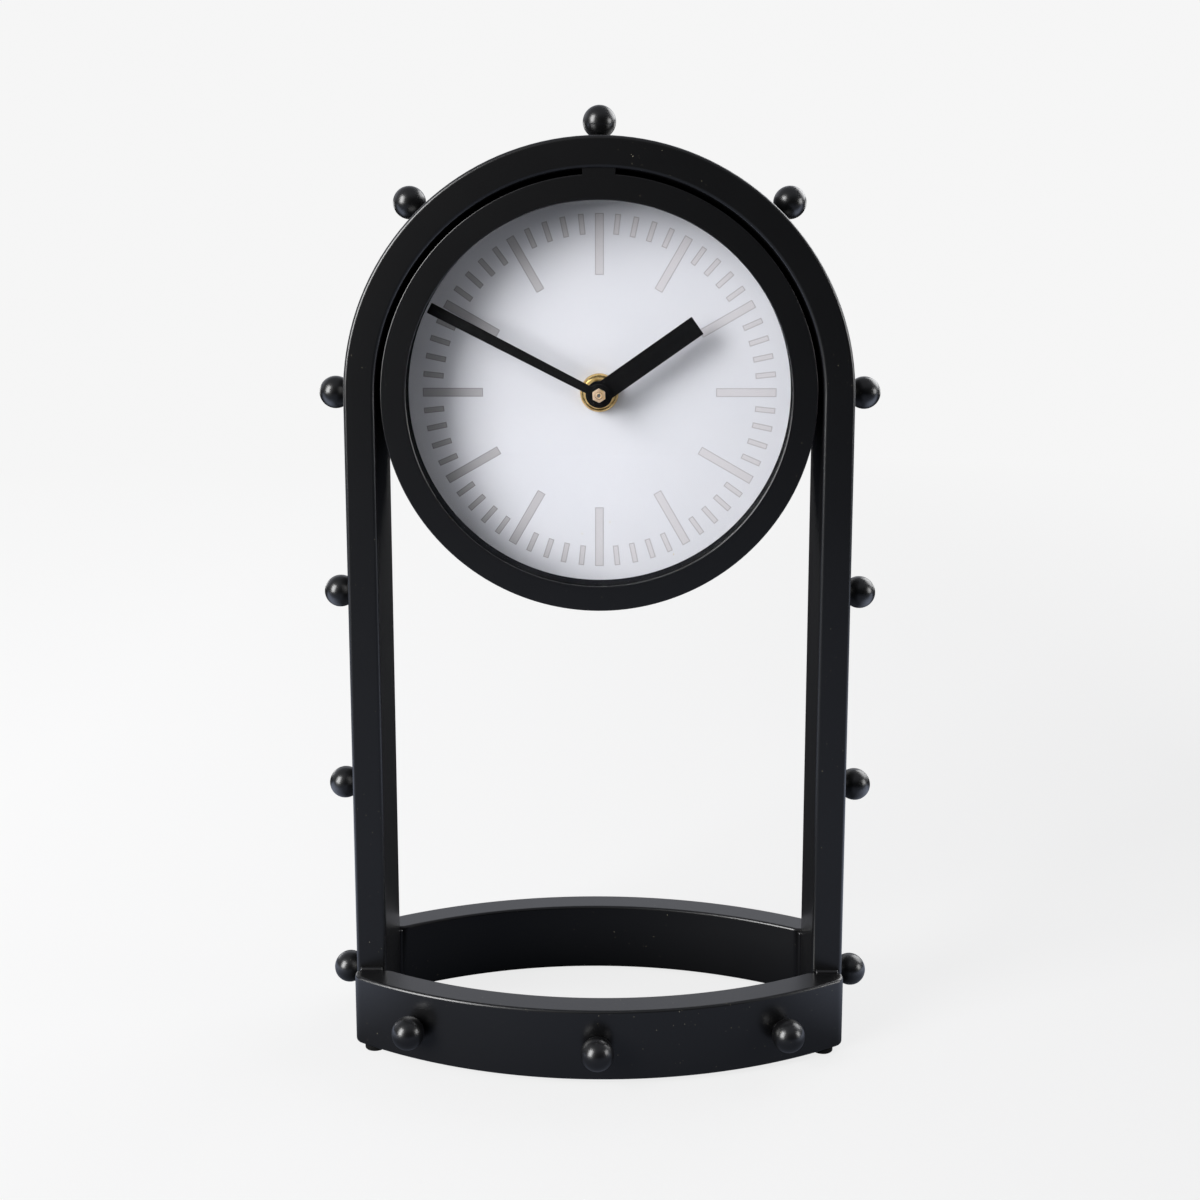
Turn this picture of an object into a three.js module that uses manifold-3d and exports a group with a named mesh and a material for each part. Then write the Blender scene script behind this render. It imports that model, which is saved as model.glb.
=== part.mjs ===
// Table clock: a round drum clock hung in an arch of rectangular tube, on a lens-shaped base.
// Millimetres, +Z up, the dial faces -Y and the floor is Z = 0.
import * as THREE from 'three';
import { mergeVertices } from 'three/addons/utils/BufferGeometryUtils.js';
import Module from 'manifold-3d';

const wasm = await Module();
wasm.setup();

// Clearances
const SEAT = 0.3; // between two pieces that rest on each other
const FIT = 0.3; // around a piece that sits in a bore
const GRIP = 0.15; // around a hand, nut or knob pushed on its arbor

// Arch of rectangular tube, standing on its two legs
const ARCH_RADIUS = 97; // outer, also half the width over the legs
const ARCH_CENTRE_Z = 260;
const TUBE_FACE = 12;
const TUBE_DEPTH = 40;
const TUBE_WALL = 1.2;
const TUBE_CORNER = 1.5;

// Base of two bowed rails welded to the front and the back of the legs
const RAIL_HEIGHT = 28;
const RAIL_THICKNESS = 12;
const RAIL_BULGE = 28.5; // how far the outer face bows out between its ends
const RAIL_END_OFFSET = 6; // from the leg's face to the rail's outer face at its ends
const RAIL_CORNER = 1.2;
const DRAIN_RADIUS = 2.5;
const DRAIN_INSET = 42; // from the rail's end to the drain's centre

// Rubber feet under the rail ends
const FOOT_HEIGHT = 2;
const FOOT_RADIUS = 4.2;
const FOOT_INSET = 8; // from the leg's outer face to the foot's centre

// Ball studs on the arch, the legs and the front rail
const BALL_RADIUS = 6.35;
const STUD_FOOT_RADIUS = 2.8; // flat where the ball meets the tube
const STUD_SHANK_RADIUS = 1.5;
const STUD_SHANK_LENGTH = 4;
const ARCH_STUD_ANGLE = Math.PI / 4;
const LEG_STUD_LOW_Z = 22;
const LEG_STUD_COUNT = 4;
const RAIL_STUD_INSET = 26; // from the rail's end to the stud's seat

// Drum with its lens, spacer ring, dial and back cover
const DRUM_GAP = 2; // between the drum and the arch
const DRUM_WALL = 1;
const DRUM_SETBACK = 1; // of the bezel and the drum's back edge from the arch's faces
const DRUM_RIM_THICKNESS = 1.2;
const BEZEL_WIDTH = 9.7;
const BEZEL_THICKNESS = 1.2;
const BEZEL_EDGE = 0.5;
const LENS_THICKNESS = 2;
const DIAL_RECESS = 19; // from the bezel's face to the dial's face
const SPACER_REVEAL = 1.1; // the spacer's bore beyond the bezel's inner edge
const DIAL_THICKNESS = 0.5;
const BOARD_THICKNESS = 2.5;
const COVER_THICKNESS = 1;
const COVER_WINDOW_MARGIN = 2;
const HANGER_WIDTH = 13.4;
const HANGER_REAR_GAP = 1.5; // between the hanger and the drum's rear rim

// Quartz movement
const BATTERY_LENGTH = 50.5;
const BATTERY_RADIUS = 7.1;
const BATTERY_CAP_RADIUS = 2.7;
const BATTERY_CAP_LENGTH = 1.4;
const BAY_CLEARANCE = 0.5;
const CONTACT_THICKNESS = 0.6;
const CONTACT_SIZE = 9;
const CONTACT_DIMPLE = 0.7; // how far the spring contact bulges towards the battery
const CONTACT_DIMPLE_RADIUS = 2.5;
const CASE_WALL = 1.2;
const CASE_CORNER = 2.5;
const LID_THICKNESS = 1.2;
const TRAIN_CLEARANCE = 2; // from the hour wheel's teeth to the battery bay's wall
const CIRCUIT_WIDTH = 24;
const CIRCUIT_HEIGHT = 12;
const CIRCUIT_THICKNESS = 1.2;
const CIRCUIT_MARGIN = 2; // from the case's walls
const COIL_RADIUS = 3;
const COIL_LENGTH = 19;

// Bushing, washer and nut that clamp the dial to the movement
const BUSHING_RADIUS = 4;
const BUSHING_PROUD = 6.2; // in front of the dial
const BUSHING_FLANGE_RADIUS = 6.5;
const BUSHING_FLANGE_THICKNESS = 1;
const WASHER_RADIUS = 9;
const WASHER_THICKNESS = 0.8;
const NUT_RADIUS = 7.5;
const NUT_HEIGHT = 4.5;
const NUT_RIM = 1.6;
const NUT_CROWN_RADIUS = 6;

// Nested arbors, from the middle outwards
const SECONDS_RADIUS = 0.5;
const MINUTE_BORE_CLEARANCE = 0.3;
const MINUTE_ARBOR_RADIUS = 1.4;
const HOUR_PIPE_WALL = 0.7;

// Motion work: cannon pinion to minute wheel, minute pinion to hour wheel, twelve to one in all
const GEAR_MODULE = 0.5;
const CANNON_TEETH = 10;
const MINUTE_WHEEL_TEETH = 30;
const MINUTE_PINION_TEETH = 8;
const HOUR_WHEEL_TEETH = 32;
const TOOTH_ADDENDUM = 0.8; // in modules
const TOOTH_DEDENDUM = 1.25; // in modules
const TOOTH_THINNING = 0.3; // share of the tooth taken off for backlash
const PRESSURE_ANGLE = Math.PI / 9;
const WHEEL_THICKNESS = 1.6;
const WHEEL_GAP = 0.5;
const WHEEL_ARBOR_RADIUS = 1;
const WHEEL_DIRECTION = Math.PI / 4; // from twelve o'clock, clockwise, to the minute wheel
const SECONDS_WHEEL_RADIUS = 6;
const SECONDS_WHEEL_THICKNESS = 1;
const KNOB_RADIUS = 5;
const KNOB_HEIGHT = 4;
const KNOB_BORE = 2.6;
const KNOB_LOBES = 16;
const KNOB_LOBE_DEPTH = 0.4;

// Hands, shown at the photographed time
const SHOWN_HOUR = 1;
const SHOWN_MINUTE = 49.55;
const HAND_THICKNESS = 0.8;
const HOUR_HAND_HEIGHT = 9; // in front of the dial, to the hand's middle
const HOUR_HAND_LENGTH = 46;
const HOUR_HAND_WIDTH = 8;
const HOUR_HUB_RADIUS = 5.2;
const HOUR_COLLAR_RADIUS = 3.9;
const MINUTE_HAND_HEIGHT = 12;
const MINUTE_HAND_MARGIN = 1.9; // from the minute hand's tip to the spacer's bore
const MINUTE_HAND_ROOT = 3.2;
const MINUTE_HAND_TIP = 4.2;
const MINUTE_HUB_RADIUS = 4.2;
const MINUTE_COLLAR_RADIUS = 2.6;
const COLLAR_LENGTH = 1.2;
const HAND_NUT_FLATS = 4.8;
const HAND_NUT_HEIGHT = 1.4;

// Facets
const ARCH_STEPS = 16; // half the facets of each arc of the arch
const RAIL_STEPS = 9; // half the facets of each face of a rail
const HANGER_STEPS = 2; // half the facets of each face of the hanger
const CORNER_STEPS = 2;
const ROUND_STEPS = 64;
const DISC_STEPS = 48;
const SHAFT_STEPS = 16;
const BALL_STEPS = 10;
const BALL_RINGS = 5;
const HEX_STEPS = 6;

// Places worked out from the sizes above
const legBottomZ = FOOT_HEIGHT;
const tubeHalf = TUBE_DEPTH / 2;
const archInner = ARCH_RADIUS - TUBE_FACE;
const drumRadius = archInner - DRUM_GAP;
const drumInner = drumRadius - DRUM_WALL;
const stackRadius = drumInner - FIT;
const bezelInner = drumRadius - BEZEL_WIDTH;
const spacerBore = bezelInner + SPACER_REVEAL;
const bezelFrontY = -tubeHalf + DRUM_SETBACK;
const drumBackY = tubeHalf - DRUM_SETBACK;
const drumRimFrontY = drumBackY - DRUM_RIM_THICKNESS;
const drumRimRadius = archInner - SEAT;
const lensFrontY = bezelFrontY + BEZEL_THICKNESS + SEAT;
const lensBackY = lensFrontY + LENS_THICKNESS;
const dialFaceY = bezelFrontY + DIAL_RECESS;
const dialBackY = dialFaceY + DIAL_THICKNESS;
const boardFrontY = dialBackY + SEAT;
const boardBackY = boardFrontY + BOARD_THICKNESS;
const washerFrontY = boardBackY + SEAT;
const washerBackY = washerFrontY + WASHER_THICKNESS;
const lidFrontY = washerBackY + SEAT;
const lidBackY = lidFrontY + LID_THICKNESS;
const caseFrontY = lidBackY + SEAT;
const caseBackY = caseFrontY + 2 * BATTERY_RADIUS;
const caseFloorY = caseBackY - CASE_WALL;
const flangeBackY = caseFrontY + BUSHING_FLANGE_THICKNESS;
const hourWheelY = flangeBackY + SEAT;
const hourWheelBackY = hourWheelY + WHEEL_THICKNESS;
const minuteWheelY = hourWheelBackY + WHEEL_GAP;
const minuteWheelBackY = minuteWheelY + WHEEL_THICKNESS;
const secondsWheelY = minuteWheelBackY + WHEEL_GAP;
const bayLength = BATTERY_LENGTH + 2 * CONTACT_THICKNESS + 4 * SEAT + CONTACT_DIMPLE;
const caseHalf = bayLength / 2 + CASE_WALL;
const wheelDistance = GEAR_MODULE * (CANNON_TEETH + MINUTE_WHEEL_TEETH) / 2;
const pinionModule = 2 * wheelDistance / (MINUTE_PINION_TEETH + HOUR_WHEEL_TEETH);
const hourWheelTip = pinionModule * (HOUR_WHEEL_TEETH / 2 + TOOTH_ADDENDUM);
const bayTopZ = -hourWheelTip - TRAIN_CLEARANCE - CASE_WALL;
const bayHeight = 2 * (BATTERY_RADIUS + BAY_CLEARANCE);
const bayBottomZ = bayTopZ - bayHeight;
const caseBottomZ = bayBottomZ - CASE_WALL;
const caseTopZ = caseHalf;
const batteryZ = (bayTopZ + bayBottomZ) / 2;
const batteryY = caseFrontY + BATTERY_RADIUS;
const wheelX = wheelDistance * Math.sin(WHEEL_DIRECTION);
const wheelZ = wheelDistance * Math.cos(WHEEL_DIRECTION);
const hourPipeBore = MINUTE_ARBOR_RADIUS + FIT;
const hourPipeRadius = hourPipeBore + HOUR_PIPE_WALL;
const bushingBore = hourPipeRadius + FIT;
const clampHole = BUSHING_RADIUS + FIT;
const bushingFrontY = dialFaceY - BUSHING_PROUD;
const hourHandFrontY = dialFaceY - HOUR_HAND_HEIGHT - HAND_THICKNESS / 2;
const minuteHandFrontY = dialFaceY - MINUTE_HAND_HEIGHT - HAND_THICKNESS / 2;
const minuteHandLength = spacerBore - MINUTE_HAND_MARGIN;
const handNutBackY = minuteHandFrontY - SEAT;
const handNutFrontY = handNutBackY - HAND_NUT_HEIGHT;
const minuteAngle = SHOWN_MINUTE / 60 * 2 * Math.PI;
const hourAngle = (SHOWN_HOUR + SHOWN_MINUTE / 60) / 12 * 2 * Math.PI;
const railRadius = (ARCH_RADIUS ** 2 + RAIL_BULGE ** 2) / (2 * RAIL_BULGE);
const railCentreY = tubeHalf + RAIL_END_OFFSET + RAIL_BULGE - railRadius;
const railTopZ = legBottomZ + RAIL_HEIGHT;
const railMiddleZ = legBottomZ + RAIL_HEIGHT / 2;
const ballCentre = SEAT + Math.sqrt(BALL_RADIUS ** 2 - STUD_FOOT_RADIUS ** 2);

// Finishes
const BLACK_PAINT = { color: 0x1c1c1d, roughness: 0.45, metalness: 0.2 };
const BLACK_RUBBER = { color: 0x141414, roughness: 0.9, metalness: 0 };
const BLACK_PLASTIC = { color: 0x18181a, roughness: 0.55, metalness: 0 };
const CLEAR_GLASS = { color: 0xf2f6f6, roughness: 0.05, metalness: 0 };
const WHITE_CARD = { color: 0xdfe2ea, roughness: 0.8, metalness: 0 };
const BROWN_BOARD = { color: 0x8a6a4a, roughness: 0.85, metalness: 0 };
const BRASS = { color: 0xb8923f, roughness: 0.3, metalness: 1 };
const STEEL = { color: 0x9a9a9c, roughness: 0.35, metalness: 1 };
const PALE_PLASTIC = { color: 0xe6e4dc, roughness: 0.5, metalness: 0 };
const BATTERY_SLEEVE = { color: 0x2e4a6b, roughness: 0.4, metalness: 0.1 };
const CIRCUIT_GREEN = { color: 0x1f5a3a, roughness: 0.6, metalness: 0 };
const COPPER = { color: 0xb06a3a, roughness: 0.35, metalness: 1 };

const AXIS = new THREE.Vector3(0, 1, 0);
const BEHIND = 10; // how far a cutting tool runs past the piece it cuts

// Booleans
function solidOf(geometry) {
  const bare = geometry.clone();
  bare.deleteAttribute('normal');
  bare.deleteAttribute('uv');
  const merged = mergeVertices(bare, 1e-4);
  const vertProperties = Float32Array.from(merged.attributes.position.array);
  const triVerts = Uint32Array.from(merged.index.array);
  return new wasm.Manifold(new wasm.Mesh({ numProp: 3, vertProperties, triVerts }));
}

function geometryOf(solid) {
  const mesh = solid.getMesh();
  const geometry = new THREE.BufferGeometry();
  geometry.setAttribute('position', new THREE.BufferAttribute(mesh.vertProperties, mesh.numProp));
  geometry.setIndex(new THREE.BufferAttribute(mesh.triVerts, 1));
  return geometry;
}

function cut(geometry, ...tools) {
  return geometryOf(tools.reduce((solid, tool) => solid.subtract(solidOf(tool)), solidOf(geometry)));
}

function join(geometry, ...others) {
  return geometryOf(others.reduce((solid, other) => solid.add(solidOf(other)), solidOf(geometry)));
}

// Shapes that the pieces share
function box(lowX, highX, lowY, highY, lowZ, highZ) {
  const geometry = new THREE.BoxGeometry(highX - lowX, highY - lowY, highZ - lowZ);
  return geometry.translate((lowX + highX) / 2, (lowY + highY) / 2, (lowZ + highZ) / 2);
}

function rod(radius, lowY, highY, steps = SHAFT_STEPS) {
  const geometry = new THREE.CylinderGeometry(radius, radius, highY - lowY, steps);
  return geometry.translate(0, (lowY + highY) / 2, 0);
}

// Turns a profile of [radius, y] points about the Y axis, the points running anticlockwise.
function turned(points, steps) {
  const profile = points.map(([radius, y]) => new THREE.Vector2(radius, y));
  return new THREE.LatheGeometry(profile, steps);
}

function ring(bore, radius, lowY, highY, steps) {
  return turned([[bore, lowY], [radius, lowY], [radius, highY], [bore, highY], [bore, lowY]], steps);
}

function extruded(shape, length, steps, corner) {
  return new THREE.ExtrudeGeometry(shape, {
    depth: length - 2 * corner,
    curveSegments: steps,
    bevelEnabled: corner > 0,
    bevelThickness: corner,
    bevelSize: corner,
    bevelOffset: -corner,
    bevelSegments: CORNER_STEPS,
  }).translate(0, 0, corner);
}

// A rectangle with rounded corners
function roundedOutline(lowX, highX, lowZ, highZ, radius) {
  const outline = new THREE.Shape();
  outline.absarc(highX - radius, lowZ + radius, radius, -Math.PI / 2, 0, false);
  outline.absarc(highX - radius, highZ - radius, radius, 0, Math.PI / 2, false);
  outline.absarc(lowX + radius, highZ - radius, radius, Math.PI / 2, Math.PI, false);
  outline.absarc(lowX + radius, lowZ + radius, radius, Math.PI, 3 * Math.PI / 2, false);
  outline.closePath();
  return outline;
}

// An outline in X and Z, as thick along Y as the two places say.
function plate(shape, lowY, highY, steps = 1, corner = 0) {
  return extruded(shape, highY - lowY, steps, corner).rotateX(Math.PI / 2).translate(0, highY, 0);
}

// An outline in X and Y, as tall along Z as the two places say.
function slab(shape, lowZ, highZ, steps = 1, corner = 0) {
  return extruded(shape, highZ - lowZ, steps, corner).translate(0, 0, lowZ);
}

function aimed(geometry, position, direction) {
  const turn = new THREE.Quaternion().setFromUnitVectors(AXIS, direction);
  return geometry.applyQuaternion(turn).translate(position.x, position.y, position.z);
}

// Scene graph: the clock stands with the middle of its box over the origin.
const clock = new THREE.Group();
clock.position.y = (ballCentre + BALL_RADIUS) / 2;
const drum = new THREE.Group();
drum.position.z = ARCH_CENTRE_Z;
clock.add(drum);

function add(group, name, geometry, finish) {
  const mesh = new THREE.Mesh(geometry, new THREE.MeshStandardMaterial(finish));
  mesh.name = name;
  group.add(mesh);
  return mesh;
}

// Ball studs
function studGeometry() {
  const first = Math.asin((SEAT - ballCentre) / BALL_RADIUS);
  const points = [
    [0, -STUD_SHANK_LENGTH],
    [STUD_SHANK_RADIUS, -STUD_SHANK_LENGTH],
    [STUD_SHANK_RADIUS, SEAT],
  ];
  for (let step = 0; step < BALL_RINGS; step += 1) {
    const angle = first + (Math.PI / 2 - first) * step / BALL_RINGS;
    points.push([BALL_RADIUS * Math.cos(angle), ballCentre + BALL_RADIUS * Math.sin(angle)]);
  }
  points.push([0, ballCentre + BALL_RADIUS]);
  return turned(points, BALL_STEPS);
}

function studHole({ position, direction }) {
  const depth = TUBE_WALL + SEAT;
  return aimed(rod(STUD_SHANK_RADIUS + FIT, -depth, depth, BALL_STEPS), position, direction);
}

function addStud(group, { name, position, direction }) {
  const mesh = add(group, name, studGeometry(), BLACK_PAINT);
  mesh.position.copy(position);
  mesh.quaternion.setFromUnitVectors(AXIS, direction);
}

function archSeats() {
  const sides = [['left', -1], ['centre', 0], ['right', 1]];
  return sides.map(([side, turn]) => {
    const angle = turn * ARCH_STUD_ANGLE;
    const direction = new THREE.Vector3(Math.sin(angle), 0, Math.cos(angle));
    const position = direction.clone().multiplyScalar(ARCH_RADIUS);
    position.z += ARCH_CENTRE_Z;
    return { name: `arch_stud_${side}`, position, direction };
  });
}

function legSeats() {
  const seats = [];
  const spacing = (ARCH_CENTRE_Z - LEG_STUD_LOW_Z) / (LEG_STUD_COUNT - 1);
  for (const [side, sign] of [['left', -1], ['right', 1]]) {
    for (let row = 0; row < LEG_STUD_COUNT; row += 1) {
      const z = ARCH_CENTRE_Z - row * spacing;
      const position = new THREE.Vector3(sign * ARCH_RADIUS, 0, z);
      const direction = new THREE.Vector3(sign, 0, 0);
      seats.push({ name: `leg_stud_${side}_${row + 1}`, position, direction });
    }
  }
  return seats;
}

// Seats on a rail that bows towards +Y
function railSeats() {
  const sides = [['left', 1], ['centre', 0], ['right', -1]];
  return sides.map(([side, sign]) => {
    const angle = Math.asin(sign * (ARCH_RADIUS - RAIL_STUD_INSET) / railRadius);
    const direction = new THREE.Vector3(Math.sin(angle), Math.cos(angle), 0);
    const position = direction.clone().multiplyScalar(railRadius);
    position.y += railCentreY;
    position.z += railMiddleZ;
    return { name: `rail_stud_${side}`, position, direction };
  });
}

// Arch: a bent tube, hollow and open at the foot of each leg
function archOutline(outer, inner, bottomZ) {
  const outline = new THREE.Shape();
  outline.moveTo(outer, bottomZ);
  outline.lineTo(outer, ARCH_CENTRE_Z);
  outline.absarc(0, ARCH_CENTRE_Z, outer, 0, Math.PI, false);
  outline.lineTo(-outer, bottomZ);
  outline.lineTo(-inner, bottomZ);
  outline.lineTo(-inner, ARCH_CENTRE_Z);
  outline.absarc(0, ARCH_CENTRE_Z, inner, Math.PI, 0, true);
  outline.lineTo(inner, bottomZ);
  outline.closePath();
  return outline;
}

function archGeometry(seats) {
  const lowZ = legBottomZ - BEHIND;
  const innerHalf = tubeHalf - TUBE_WALL;
  const tubeOutline = archOutline(ARCH_RADIUS, archInner, lowZ);
  const tube = plate(tubeOutline, -tubeHalf, tubeHalf, ARCH_STEPS, TUBE_CORNER);
  const hollowOutline = archOutline(ARCH_RADIUS - TUBE_WALL, archInner + TUBE_WALL, lowZ - BEHIND);
  const hollow = plate(hollowOutline, -innerHalf, innerHalf, ARCH_STEPS);
  const wide = ARCH_RADIUS + BEHIND;
  const below = box(-wide, wide, -wide, wide, lowZ - BEHIND, legBottomZ);
  return cut(tube, hollow, below, ...seats.map(studHole));
}

const archStuds = [...archSeats(), ...legSeats()];
add(clock, 'arch_frame', archGeometry(archStuds), BLACK_PAINT);
archStuds.forEach((stud) => addStud(clock, stud));

// Rails: bowed hollow bars that end flush with the legs, with drain holes underneath
function railOutline(inset) {
  const outer = railRadius - inset;
  const inner = railRadius - RAIL_THICKNESS + inset;
  const endX = ARCH_RADIUS - inset;
  const buttY = tubeHalf + SEAT + inset;
  const endAngle = Math.acos(endX / outer);
  const buttAngle = Math.asin((buttY - railCentreY) / inner);
  const outline = new THREE.Shape();
  outline.moveTo(endX, buttY);
  outline.lineTo(endX, railCentreY + outer * Math.sin(endAngle));
  outline.absarc(0, railCentreY, outer, endAngle, Math.PI - endAngle, false);
  outline.lineTo(-endX, buttY);
  outline.lineTo(-inner * Math.cos(buttAngle), buttY);
  outline.absarc(0, railCentreY, inner, Math.PI - buttAngle, buttAngle, true);
  outline.closePath();
  return outline;
}

function railGeometry(seats) {
  const bar = slab(railOutline(0), legBottomZ, railTopZ, RAIL_STEPS, RAIL_CORNER);
  const hollowTopZ = railTopZ - TUBE_WALL;
  const hollow = slab(railOutline(TUBE_WALL), legBottomZ + TUBE_WALL, hollowTopZ, RAIL_STEPS);
  const down = new THREE.Vector3(0, 0, -1);
  const drains = [-1, 1].map((sign) => {
    const angle = Math.asin(sign * (ARCH_RADIUS - DRAIN_INSET) / railRadius);
    const middle = railRadius - RAIL_THICKNESS / 2;
    const x = middle * Math.sin(angle);
    const y = railCentreY + middle * Math.cos(angle);
    const drill = rod(DRAIN_RADIUS, -2 * TUBE_WALL, TUBE_WALL, BALL_STEPS);
    return aimed(drill, new THREE.Vector3(x, y, legBottomZ), down);
  });
  return cut(bar, hollow, ...drains, ...seats.map(studHole));
}

const frontBase = new THREE.Group();
frontBase.rotation.z = Math.PI;
const rearBase = new THREE.Group();
clock.add(frontBase, rearBase);
const railStuds = railSeats();
add(frontBase, 'front_rail', railGeometry(railStuds), BLACK_PAINT);
railStuds.forEach((stud) => addStud(frontBase, stud));
add(rearBase, 'rear_rail', railGeometry([]), BLACK_PAINT);

// Feet, in the middle of each rail end
function addFoot(group, name, sign) {
  const x = sign * (ARCH_RADIUS - FOOT_INSET);
  const outerY = railCentreY + Math.sqrt(railRadius ** 2 - x ** 2);
  const height = FOOT_HEIGHT - SEAT;
  const geometry = new THREE.CylinderGeometry(FOOT_RADIUS, FOOT_RADIUS, height, SHAFT_STEPS);
  const foot = add(group, name, geometry.rotateX(Math.PI / 2), BLACK_RUBBER);
  foot.position.set(x, (tubeHalf + SEAT + outerY) / 2, height / 2);
}

addFoot(frontBase, 'foot_front_left', 1);
addFoot(frontBase, 'foot_front_right', -1);
addFoot(rearBase, 'foot_rear_left', -1);
addFoot(rearBase, 'foot_rear_right', 1);

// Hanger: the welded spacer that carries the drum at the top of the arch
function hangerGeometry() {
  const inner = drumRadius + SEAT;
  const outer = archInner - SEAT;
  const half = HANGER_WIDTH / 2 / archInner;
  const outline = new THREE.Shape();
  outline.absarc(0, 0, outer, Math.PI / 2 - half, Math.PI / 2 + half, false);
  outline.absarc(0, 0, inner, Math.PI / 2 + half, Math.PI / 2 - half, true);
  outline.closePath();
  return plate(outline, bezelFrontY, drumRimFrontY - HANGER_REAR_GAP, HANGER_STEPS);
}

add(drum, 'hanger_tab', hangerGeometry(), BLACK_PAINT);

// Drum: a cup whose turned-in front is the bezel and whose turned-out rear rim closes the gap to the arch
function drumGeometry() {
  const flangeBackEdge = bezelFrontY + BEZEL_THICKNESS;
  return turned([
    [bezelInner, flangeBackEdge],
    [bezelInner, bezelFrontY + BEZEL_EDGE],
    [bezelInner + BEZEL_EDGE, bezelFrontY],
    [drumRadius - BEZEL_EDGE, bezelFrontY],
    [drumRadius, bezelFrontY + BEZEL_EDGE],
    [drumRadius, drumRimFrontY],
    [drumRimRadius, drumRimFrontY],
    [drumRimRadius, drumBackY],
    [drumInner, drumBackY],
    [drumInner, flangeBackEdge],
    [bezelInner, flangeBackEdge],
  ], ROUND_STEPS);
}

add(drum, 'drum_case', drumGeometry(), BLACK_PAINT);
add(drum, 'glass_lens', rod(stackRadius, lensFrontY, lensBackY, ROUND_STEPS), CLEAR_GLASS);
const spacer = ring(spacerBore, stackRadius, lensBackY + SEAT, dialFaceY - SEAT, DISC_STEPS);
add(drum, 'spacer_ring', spacer, BLACK_PLASTIC);
add(drum, 'dial', ring(clampHole, stackRadius, dialFaceY, dialBackY, DISC_STEPS), WHITE_CARD);
const board = ring(clampHole, stackRadius, boardFrontY, boardBackY, DISC_STEPS);
add(drum, 'dial_board', board, BROWN_BOARD);

// Back cover: a pressed lid that holds the stack, with a window round the movement
function coverGeometry() {
  const plateFrontY = drumBackY - COVER_THICKNESS;
  const lid = turned([
    [0, plateFrontY],
    [stackRadius - COVER_THICKNESS, plateFrontY],
    [stackRadius - COVER_THICKNESS, boardBackY + SEAT],
    [stackRadius, boardBackY + SEAT],
    [stackRadius, drumBackY],
    [0, drumBackY],
  ], ROUND_STEPS);
  const side = caseHalf + COVER_WINDOW_MARGIN;
  const bottom = caseBottomZ - COVER_WINDOW_MARGIN;
  const top = caseTopZ + COVER_WINDOW_MARGIN;
  const window = roundedOutline(-side, side, bottom, top, CASE_CORNER + COVER_WINDOW_MARGIN);
  return cut(lid, plate(window, plateFrontY - BEHIND, drumBackY + BEHIND, CORNER_STEPS));
}

add(drum, 'back_cover', coverGeometry(), BLACK_PAINT);

// Bushing, washer and nut
function bushingGeometry() {
  return turned([
    [bushingBore, bushingFrontY],
    [BUSHING_RADIUS, bushingFrontY],
    [BUSHING_RADIUS, caseFrontY],
    [BUSHING_FLANGE_RADIUS, caseFrontY],
    [BUSHING_FLANGE_RADIUS, flangeBackY],
    [bushingBore, flangeBackY],
    [bushingBore, bushingFrontY],
  ], SHAFT_STEPS);
}

function fixingNutGeometry() {
  const backY = dialFaceY - SEAT;
  const frontY = backY - NUT_HEIGHT;
  return turned([
    [clampHole, frontY],
    [NUT_CROWN_RADIUS, frontY],
    [NUT_RADIUS, backY - NUT_RIM],
    [NUT_RADIUS, backY],
    [clampHole, backY],
    [clampHole, frontY],
  ], 2 * SHAFT_STEPS);
}

add(drum, 'threaded_bushing', bushingGeometry(), BRASS);
const washer = ring(clampHole, WASHER_RADIUS, washerFrontY, washerBackY, SHAFT_STEPS);
add(drum, 'rubber_washer', washer, BLACK_RUBBER);
add(drum, 'fixing_nut', fixingNutGeometry(), BRASS);

// Movement: a lid in front, a case behind it with a room for the train and a bay for the battery
const caseOutline = roundedOutline(-caseHalf, caseHalf, caseBottomZ, caseTopZ, CASE_CORNER);

function movementLidGeometry() {
  const lid = plate(caseOutline, lidFrontY, lidBackY, CORNER_STEPS);
  return cut(lid, rod(clampHole, lidFrontY - BEHIND, lidBackY + BEHIND));
}

function movementCaseGeometry() {
  const insideX = caseHalf - CASE_WALL;
  const insideCorner = CASE_CORNER - CASE_WALL;
  const body = plate(caseOutline, caseFrontY, caseBackY, CORNER_STEPS);
  const roomBottom = bayTopZ + CASE_WALL;
  const roomTop = caseTopZ - CASE_WALL;
  const roomOutline = roundedOutline(-insideX, insideX, roomBottom, roomTop, insideCorner);
  const bayOutline = roundedOutline(-insideX, insideX, bayBottomZ, bayTopZ, insideCorner);
  const room = plate(roomOutline, caseFrontY - BEHIND, caseFloorY, CORNER_STEPS);
  const bay = plate(bayOutline, caseFrontY - BEHIND, caseBackY + BEHIND, CORNER_STEPS);
  const arborHole = rod(WHEEL_ARBOR_RADIUS + FIT, caseFloorY - BEHIND, caseBackY + BEHIND);
  return cut(body, room, bay, arborHole.translate(wheelX, 0, wheelZ));
}

add(drum, 'movement_lid', movementLidGeometry(), BLACK_PLASTIC);
add(drum, 'movement_case', movementCaseGeometry(), BLACK_PLASTIC);

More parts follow.
